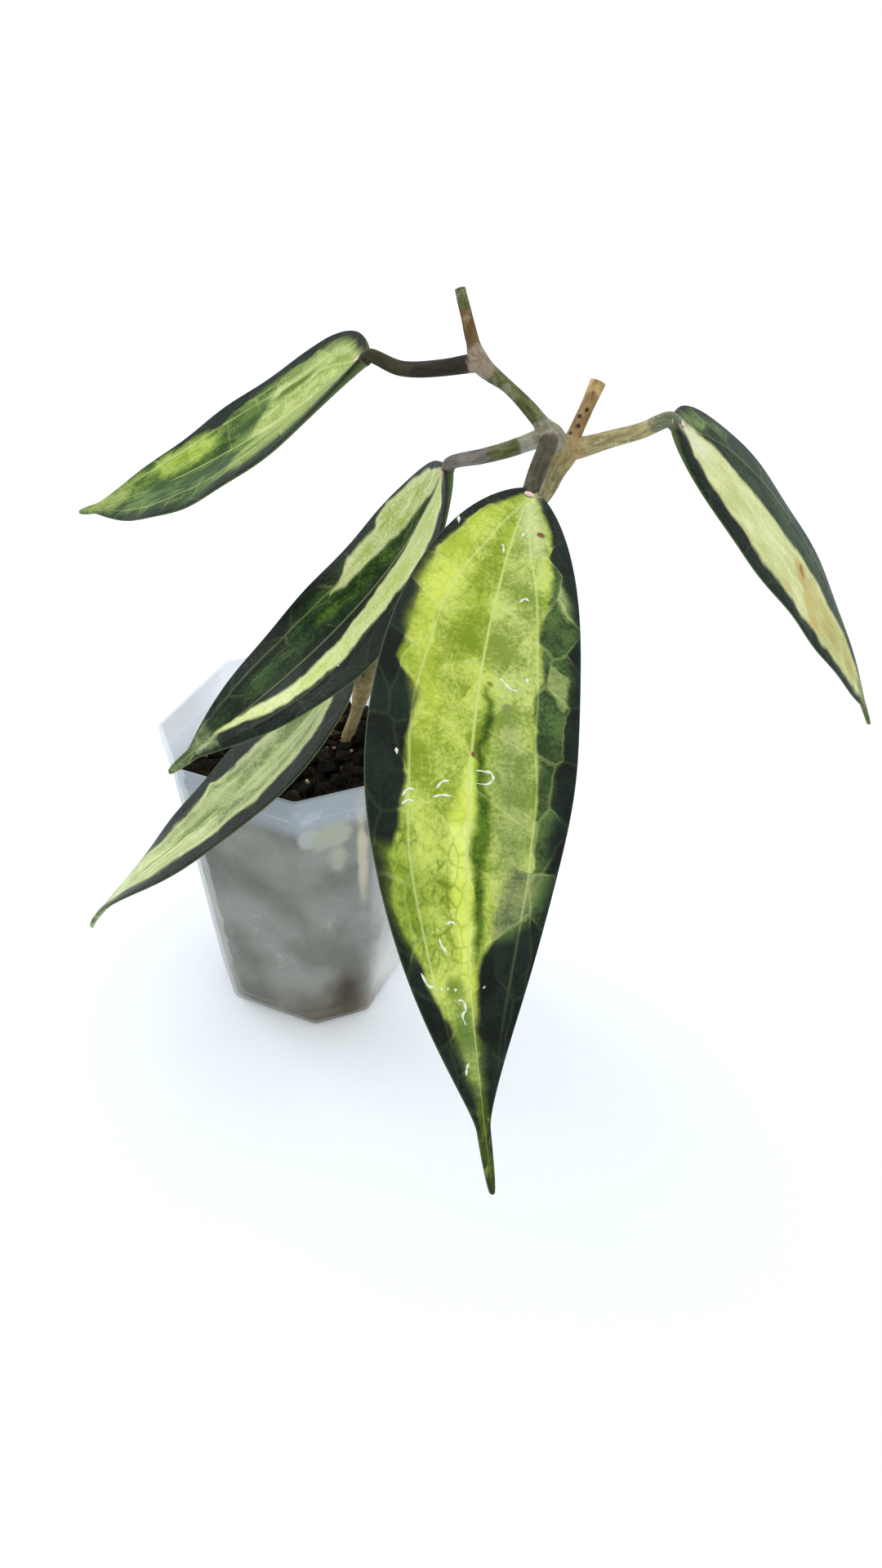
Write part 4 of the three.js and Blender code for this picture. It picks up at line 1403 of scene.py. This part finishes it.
lower_spots = [(-0.03, 0.56, 0.4, 22.0, (112, 132, 66)), (0.2, 0.66, 0.4, 14.0, (128, 150, 84))]
lower_finish = paint_leaf("lower", 4, lower_bands, lower_spots, 0.3, faint_net, 0.5)

# %% Paint the right leaf
right_bands = [
    (((12, 32, 14), (50, 76, 42)),
     [(0.01, -0.2, 0.3), (0.05, 0.0, 0.8), (0.15, 0.0, 0.86), (0.4, 0.0, 0.9), (0.7, 0.1, 0.9),
      (0.85, 0.1, 0.85), (0.95, -0.6, 0.8)], 1.6, 0.3, 0.16),
    (((196, 204, 130), (228, 232, 178)),
     [(0.012, -0.2, 0.1), (0.05, -0.56, 0.22), (0.15, -0.7, 0.18), (0.25, -0.76, 0.12),
      (0.4, -0.82, 0.12), (0.45, -0.84, 0.15), (0.6, -0.84, 0.2), (0.7, -0.84, 0.24),
      (0.76, -0.82, 0.3), (0.86, -0.74, 0.34), (0.93, -0.5, 0.3)], 1.2, 0.03, 0.6),
    (((212, 218, 176), (228, 234, 202)),
     [(0.02, -0.2, 0.1), (0.05, -0.4, 0.16), (0.1, -0.3, 0.0)], 3.4, 0.0, 0.6),
    (((70, 98, 46), (132, 158, 88)),
     [(0.03, 0.26, 0.6), (0.07, 0.34, 0.8), (0.12, 0.5, 0.8), (0.15, 0.66, 0.78)], 2.4, 0.4, 0.5),
    (((176, 170, 92), (208, 204, 136)),
     [(0.46, -0.3, 0.0), (0.55, -0.7, 0.1), (0.7, -0.7, 0.16), (0.84, -0.6, 0.24),
      (0.88, -0.3, 0.2)], 3.4, 0.0, 0.6),
    (((94, 108, 60), (136, 148, 96)),
     [(0.85, -0.1, 0.1), (0.92, -0.8, 0.75), (1.0, -0.9, 0.9)], 2.4, 0.0, 0.7),
]
right_spots = [(-0.16, 0.475, 4.2, 3.4, (192, 168, 92)), (-0.1, 0.482, 2.4, 1.5, (154, 116, 56)),
               (-0.45, 0.52, 4.0, 3.0, (198, 182, 108)), (-0.7, 0.55, 2.6, 3.4, (198, 178, 106)),
               (-0.72, 0.41, 1.4, 3.4, (206, 190, 136)), (-0.5, 0.62, 1.0, 3.0, (194, 174, 104))]
right_finish = paint_leaf("right", 5, right_bands, right_spots, 0.4, faint_net, 0.0, 0.04)

# %% Put the leaf finishes on, and paint the water marks white, partly as a painted glint on them
def coat(finish, *pieces):
    for piece in pieces:
        piece.data.materials.append(finish)


def paint_grainy(name, size, first, second, strength, distance, **inputs):
    """Two colours mixed by a fine noise that is also the relief, for plain pieces."""
    f = Finish(name)
    grain = f.noise(f.place(), size)
    colour = f.mix(grain, first, second)
    return f.surface(grain, strength, distance, Base_Color=colour, **inputs)


finishes = {"front": front_finish, "middle": middle_finish, "upper": upper_finish,
            "lower": lower_finish, "right": right_finish}
for name, finish in finishes.items():
    coat(finish, blades[name])
# The marks' white is partly their own and partly a painted glint on them.
trace_white_and_glint = ((222, 236, 190), (250, 252, 246))
coat(paint_grainy("water_traces_and_glint", 0.0005, *trace_white_and_glint, 0.3, 0.0002, Roughness=0.2), *mark_pieces)

# %% [markdown]
# ## Stems, stalks and glands
# The old wood has turned tan and corky, the young shoot is still green under a grey scurf, and the
# stalks run from olive to purple-brown. At the nodes, where stalks and stems meet, the skin is
# covered by a pale film. So each stem gets its own two colours in streaks along it, and near each
# node it changes to that node's colours. The change is measured from the node's own point, so
# that pieces which meet there agree without sharing any seam.

# %% Paint a stem from its streaks, stretches and nodes
cork = ((142, 124, 84), (186, 168, 124))
film = ((118, 112, 92), (164, 160, 140))
pink_scurf = ((124, 108, 88), (160, 146, 126))
near_nodes = [(lower_node, 8, cork), (old_node, 5.2, ((134, 116, 72), (178, 158, 108))),
              (young_node, 5.0, film), (upper_node, 4.6, pink_scurf)]
stretch_fade = 0.6
node_fade = 0.5
node_raggedness = 5
scurf_colour = (150, 150, 128)
crack_colour = (206, 196, 156)
spot_colour = (58, 40, 18)
stub_radius = 1.85


def lay_stretches(f, colour, tone, ragged, stretches):
    """Other colours along stretches of the stem, given as (from, to, colours) in mm."""
    for start, end, colours in stretches:
        inside = f.step(ragged, start - stretch_fade, start + stretch_fade) \
            * f.step(ragged, end + stretch_fade, end - stretch_fade)
        colour = f.mix(inside, colour, f.mix(tone, *colours))
    return colour


def lay_nodes(f, colour, tone, cloud):
    """The colours of each node, as far as its reach in mm."""
    here = f.place_mm()
    for point, reach, colours in near_nodes:
        distance = f.vectors("DISTANCE", here, point, output="Value")
        inside = f.step(distance + (cloud - 0.5) * node_raggedness, reach + node_fade,
                        reach - node_fade)
        colour = f.mix(inside, colour, f.mix(tone, *colours))
    return colour


def paint_stem(name, skin, stretches=(), spots=(), cut=None, cracks=0.0, scurf=0.0):
    """Streaky skin with stretches, nodes, cracks, scurf and spots of (along, turn). cut holds the
    two colours of a cut end's wood and the colour of the ring round it."""
    f = Finish(name)
    place = f.attribute("stem", "Vector")
    streak = f.noise(f.stretched(place, (0.16, 1, 1)), 0.8, 4, 0.6)
    cloud = f.noise(place, 4.5, 4, 0.6)
    grain = f.noise(place, 0.3, 3, 0.7)
    tone = f.step(streak * 0.5 + cloud * 0.3 + grain * 0.2, 0.38, 0.62)
    ragged = f.split(place) + (cloud - 0.5) * 5 + (streak - 0.5) * 2
    colour = lay_stretches(f, f.mix(tone, *skin), tone, ragged, stretches)
    flakes = f.step(cloud * 0.6 + grain * 0.4, 0.53, 0.6) * scurf
    colour = lay_nodes(f, f.mix(flakes, colour, scurf_colour), tone, cloud)
    rings = f.noise(f.stretched(place, (1, 0.22, 0.22)), 0.45, 3, 0.6)
    colour = f.mix(f.step(rings, 0.6, 0.66) * cracks, colour, crack_colour)
    for distance, turn in spots:
        spot = (distance, stub_radius * np.cos(turn), stub_radius * np.sin(turn))
        reach = f.vectors("DISTANCE", place, spot, output="Value") + (grain - 0.5) * 0.8
        colour = f.mix(f.step(reach, 0.75, 0.45), colour, spot_colour)
    if cut:
        share = f.attribute("skin")
        ring = f.step(abs(share + (grain - 0.5) * 0.2 - 0.78), 0.16, 0.06)
        wound = f.mix(ring, f.mix(grain, cut[0], cut[1]), cut[2])
        colour = f.mix(f.step(share, 0.995, 0.97), colour, wound)
    height = streak * 0.7 + grain * 0.3 + rings * 0.5
    return f.surface(height, 0.5, 0.0004, Base_Color=colour, Roughness=0.62 - tone * 0.14,
                     Specular_IOR_Level=0.3)


# %% Paint every stem and stalk
stem_pieces = {"wood": wood, "stub": stub, "shoot": shoot, **stalk_pieces}
lenticels = [(6.6, 3.3), (9.0, 2.75), (11.2, 3.15), (13.4, 2.6), (8.0, 0.4), (12.6, 1.2),
             (10.4, 5.0)]
olive = ((64, 72, 28), (106, 110, 62))
stem_paint = {
    "wood": paint_stem("wood_skin", ((112, 98, 60), (168, 156, 114)), [(0, 30, cork)], cracks=0.2),
    "stub": paint_stem("stub_skin", ((112, 84, 44), (166, 136, 86)),
                       [(18, 40, ((150, 118, 66), (214, 186, 128)))], lenticels,
                       cut=((204, 180, 122), (226, 208, 158), (84, 60, 28))),
    "shoot": paint_stem("shoot_skin", ((56, 64, 20), (102, 108, 52)),
                        [(33, 47, ((86, 58, 22), (120, 92, 36)))], scurf=0.55,
                        cut=((150, 160, 100), (176, 184, 124), (112, 122, 60))),
    "lower": paint_stem("lower_stalk_skin", ((112, 100, 62), (152, 138, 98)), cracks=0.3),
    "front": paint_stem("front_stalk_skin", ((44, 42, 24), (82, 74, 52)),
                        [(0, 8, ((84, 62, 54), (120, 96, 86)))], scurf=0.12),
    "right": paint_stem("right_stalk_skin", ((128, 120, 74), (188, 178, 128)),
                        [(25, 40, ((88, 98, 74), (126, 130, 98)))], cracks=0.75),
    "middle": paint_stem("middle_stalk_skin", olive,
                         [(0, 10, ((138, 140, 122), (180, 180, 162))),
                          (18, 40, ((96, 90, 84), (132, 124, 118)))], scurf=0.4),
    "upper": paint_stem("upper_stalk_skin", ((20, 13, 4), (46, 36, 16)),
                        [(20, 40, ((34, 34, 12), (58, 54, 26)))]),
}
for name, finish in stem_paint.items():
    coat(finish, stem_pieces[name])

# %% Paint the glands
def paint_gland():
    """Pale pink cushion with a brown ring where its rim attribute comes near 1."""
    f = Finish("gland_skin")
    rim = f.attribute("rim")
    grain = f.noise(f.place(), 0.0004)
    pale = f.mix(grain, (216, 176, 158), (240, 222, 208))
    ring = f.step(rim + (grain - 0.5) * 0.4, 0.86, 0.98)
    colour = f.mix(ring, pale, (112, 72, 50))
    return f.surface(grain, 0.3, 0.0002, Base_Color=colour, Roughness=0.4)


coat(paint_gland(), *glands.values())

# %% [markdown]
# ## Bark, coir and frosted plastic
# Damp bark is nearly black with a few warmer brown chips, so each chip carries one random tone.
# Such a pot is usually moulded from clear polypropylene, and this one has gone cloudy. A cloudy
# wall is not a mirror or a lens: it lets a share of the light straight through and scatters the
# rest, which a share of alpha over a pale grey does well. Grey and alpha drift in soft clouds, and
# over them lie brown patches near the foot, paler patches near the rim, painted light on the right
# face and a painted highlight down one corner. Above the mix the grey is painted paler for the
# light that shows through there.

# %% Paint the mix
def paint_mix(name, dark, light, warm, size):
    """Damp chips: a tone for each chip from its attribute, with clouds and grain over it."""
    f = Finish(name)
    here = f.place()
    tone = f.attribute("tone")
    cloud = f.noise(here, size, 4, 0.6)
    grain = f.noise(here, size / 6, 4, 0.7)
    colour = f.mix(f.step(tone * 0.4 + cloud * 0.4 + grain * 0.3, 0.35, 0.75), dark, light)
    colour = f.mix(f.step(tone + (cloud - 0.5) * 0.3, 0.86, 0.94), colour, warm)
    return f.surface(cloud + grain, 0.8, 0.0008, Base_Color=colour, Roughness=0.9 - grain * 0.3,
                     Specular_IOR_Level=0.1)


coat(paint_mix("damp_bark", (6, 5, 1), (28, 24, 8), (70, 54, 26), 0.004), soil, chips)
coat(paint_mix("coir", (38, 28, 12), (78, 58, 30), (104, 80, 44), 0.006), fibres)
coat(paint_mix("pale_crumb", (142, 124, 84), (190, 172, 130), (206, 190, 150), 0.002), crumbs)

# %% Paint the frosted pot
# In order: the far wall paler and clearer at the rim, painted paler for the light that comes
# through above the mix; a brown patch at the foot; two pale, nearly opaque patches on the right
# face, which are painted light where the light falls on it; a brown smear; three paler patches near
# the rim; and a thin painted highlight down the corner.
pot_marks_and_painted_light = [
    ((-17, 35, 104), 26, 0.8, 0.9, (232, 240, 248), 0.14),
    ((18, -20, 2), 22, 1.6, 0.9, (116, 106, 84), 0.42),
    ((36, 5, 16), 19, 0.8, 0.7, (238, 242, 238), 0.9),
    ((39, 3, 62), 20, 0.5, 0.8, (200, 206, 204), 0.75),
    ((28.5, -24, 13), 6.5, 0.4, 0.8, (82, 68, 48), 0.6),
    ((22.5, -35, 96), 3.6, 1, 0.3, (206, 214, 206), 0.56),
    ((28.4, -29.6, 94), 5.6, 1, 0.3, (204, 211, 190), 0.54),
    ((28.7, -28.3, 85), 3.4, 0.42, 0.3, (200, 208, 186), 0.54),
    ((34.8, -22.5, 72), 1.7, 0.045, 0.5, (226, 218, 194), 0.64),
]
ragged_share = 2.2
ragged_limit = 18


def paint_pot():
    """Pale grey over a share of alpha, with the marks and the painted light seen on the wall's
    front:
    each has a middle, a reach in mm, a factor below 1 that stretches it in height or above 1 that
    flattens it, a softness, a colour and an alpha."""
    f = Finish("frosted_plastic")
    here = f.place_mm()
    cloud = f.noise(here, 26, 4, 0.55)
    patch = f.noise(here, 11, 3, 0.5)
    scratch = f.noise(f.stretched(here, (1, 1, 0.12)), 1.2, 4, 0.6)
    colour = f.mix(f.step(cloud, 0.36, 0.64), (156, 160, 150), (194, 196, 188))
    # Above the mix the grey turns paler and bluer: painted light for what shows through the wall
    # where no mix lies behind it.
    colour = f.mix(f.step(f.split(here).out("Z"), 95, 101), colour, (214, 224, 234))
    alpha = 0.3 + cloud * 0.16 + f.step(patch, 0.62, 0.7) * 0.1
    for point, reach, factor, soft, mark, share in pot_marks_and_painted_light:
        apart = f.stretched(f.vectors("SUBTRACT", here, point), (1, 1, factor))
        distance = f.vectors("DISTANCE", apart, (0, 0, 0), output="Value")
        distance = distance + (patch - 0.5) * min(reach * ragged_share, ragged_limit)
        inside = f.step(distance, reach * (1 + soft), reach * (1 - soft))
        colour = f.mix(inside, colour, mark)
        alpha = alpha + (share - alpha) * inside
    rough = 0.3 + scratch * 0.25
    return f.surface(scratch * 0.2 + patch * 0.8, 0.2, 0.0006, Base_Color=colour,
                     Roughness=rough, Alpha=alpha, Specular_IOR_Level=0.4)


coat(paint_pot(), pot, pot_floor)

# %% [markdown]
# ## Floor and light
# The plant stands on a plain white floor that runs far out on all sides, like the sweep of paper in
# a small photo studio, so no horizon shows. A bright even sky gives the soft grey shadow below the
# pot, and the paper shines a little by itself, as it does on a light table, which keeps that
# shadow faint. A broad soft sun from high behind gives the blades their shape. A lamp on the left
# puts the sheen on the leathery blades that droop that way. The view transform is the standard
# one, because the filmic one turns white paper grey.

# %% Lay the floor
floor_half = 5.0
floor_mesh = bpy.data.meshes.new("floor")
corners = [(x * floor_half, y * floor_half, 0) for x, y in ((-1, -1), (1, -1), (1, 1), (-1, 1))]
floor_mesh.from_pydata(corners, [], [(0, 1, 2, 3)])
floor = bpy.data.objects.new("floor", floor_mesh)
bpy.context.scene.collection.objects.link(floor)
coat(paint_grainy("white_paper", 0.004, (236, 243, 252), (240, 247, 255), 0.03, 0.001,
                  Roughness=0.85, Emission_Color=(0.92, 0.97, 1, 1), Emission_Strength=0.14), floor)

# %% Light the scene
plant_middle = (0.05, -0.05, 0.15)

sky = bpy.data.worlds.new("white_room")
sky.use_nodes = True
sky.node_tree.nodes["Background"].inputs["Color"].default_value = (1, 1, 1, 1)
sky.node_tree.nodes["Background"].inputs["Strength"].default_value = 1.0
bpy.context.scene.world = sky
bpy.context.scene.view_settings.view_transform = "Standard"


def add_lamp(name, kind, place, power, **settings):
    """Lamp of a kind at a place in metres, turned to face the plant's middle."""
    data = bpy.data.lights.new(name, kind)
    data.energy = power
    for key, value in settings.items():
        setattr(data, key, value)
    lamp = bpy.data.objects.new(name, data)
    lamp.location = place
    towards = Vector(plant_middle) - Vector(place)
    lamp.rotation_euler = towards.to_track_quat("-Z", "Y").to_euler()
    bpy.context.scene.collection.objects.link(lamp)
    print("lamp", name, "of power", power)


add_lamp("window", "SUN", (1.0, 1.2, 2.6), 0.55, angle=1.7)
add_lamp("side_lamp", "AREA", (-1.6, 0.25, 1.3), 11, size=0.8)
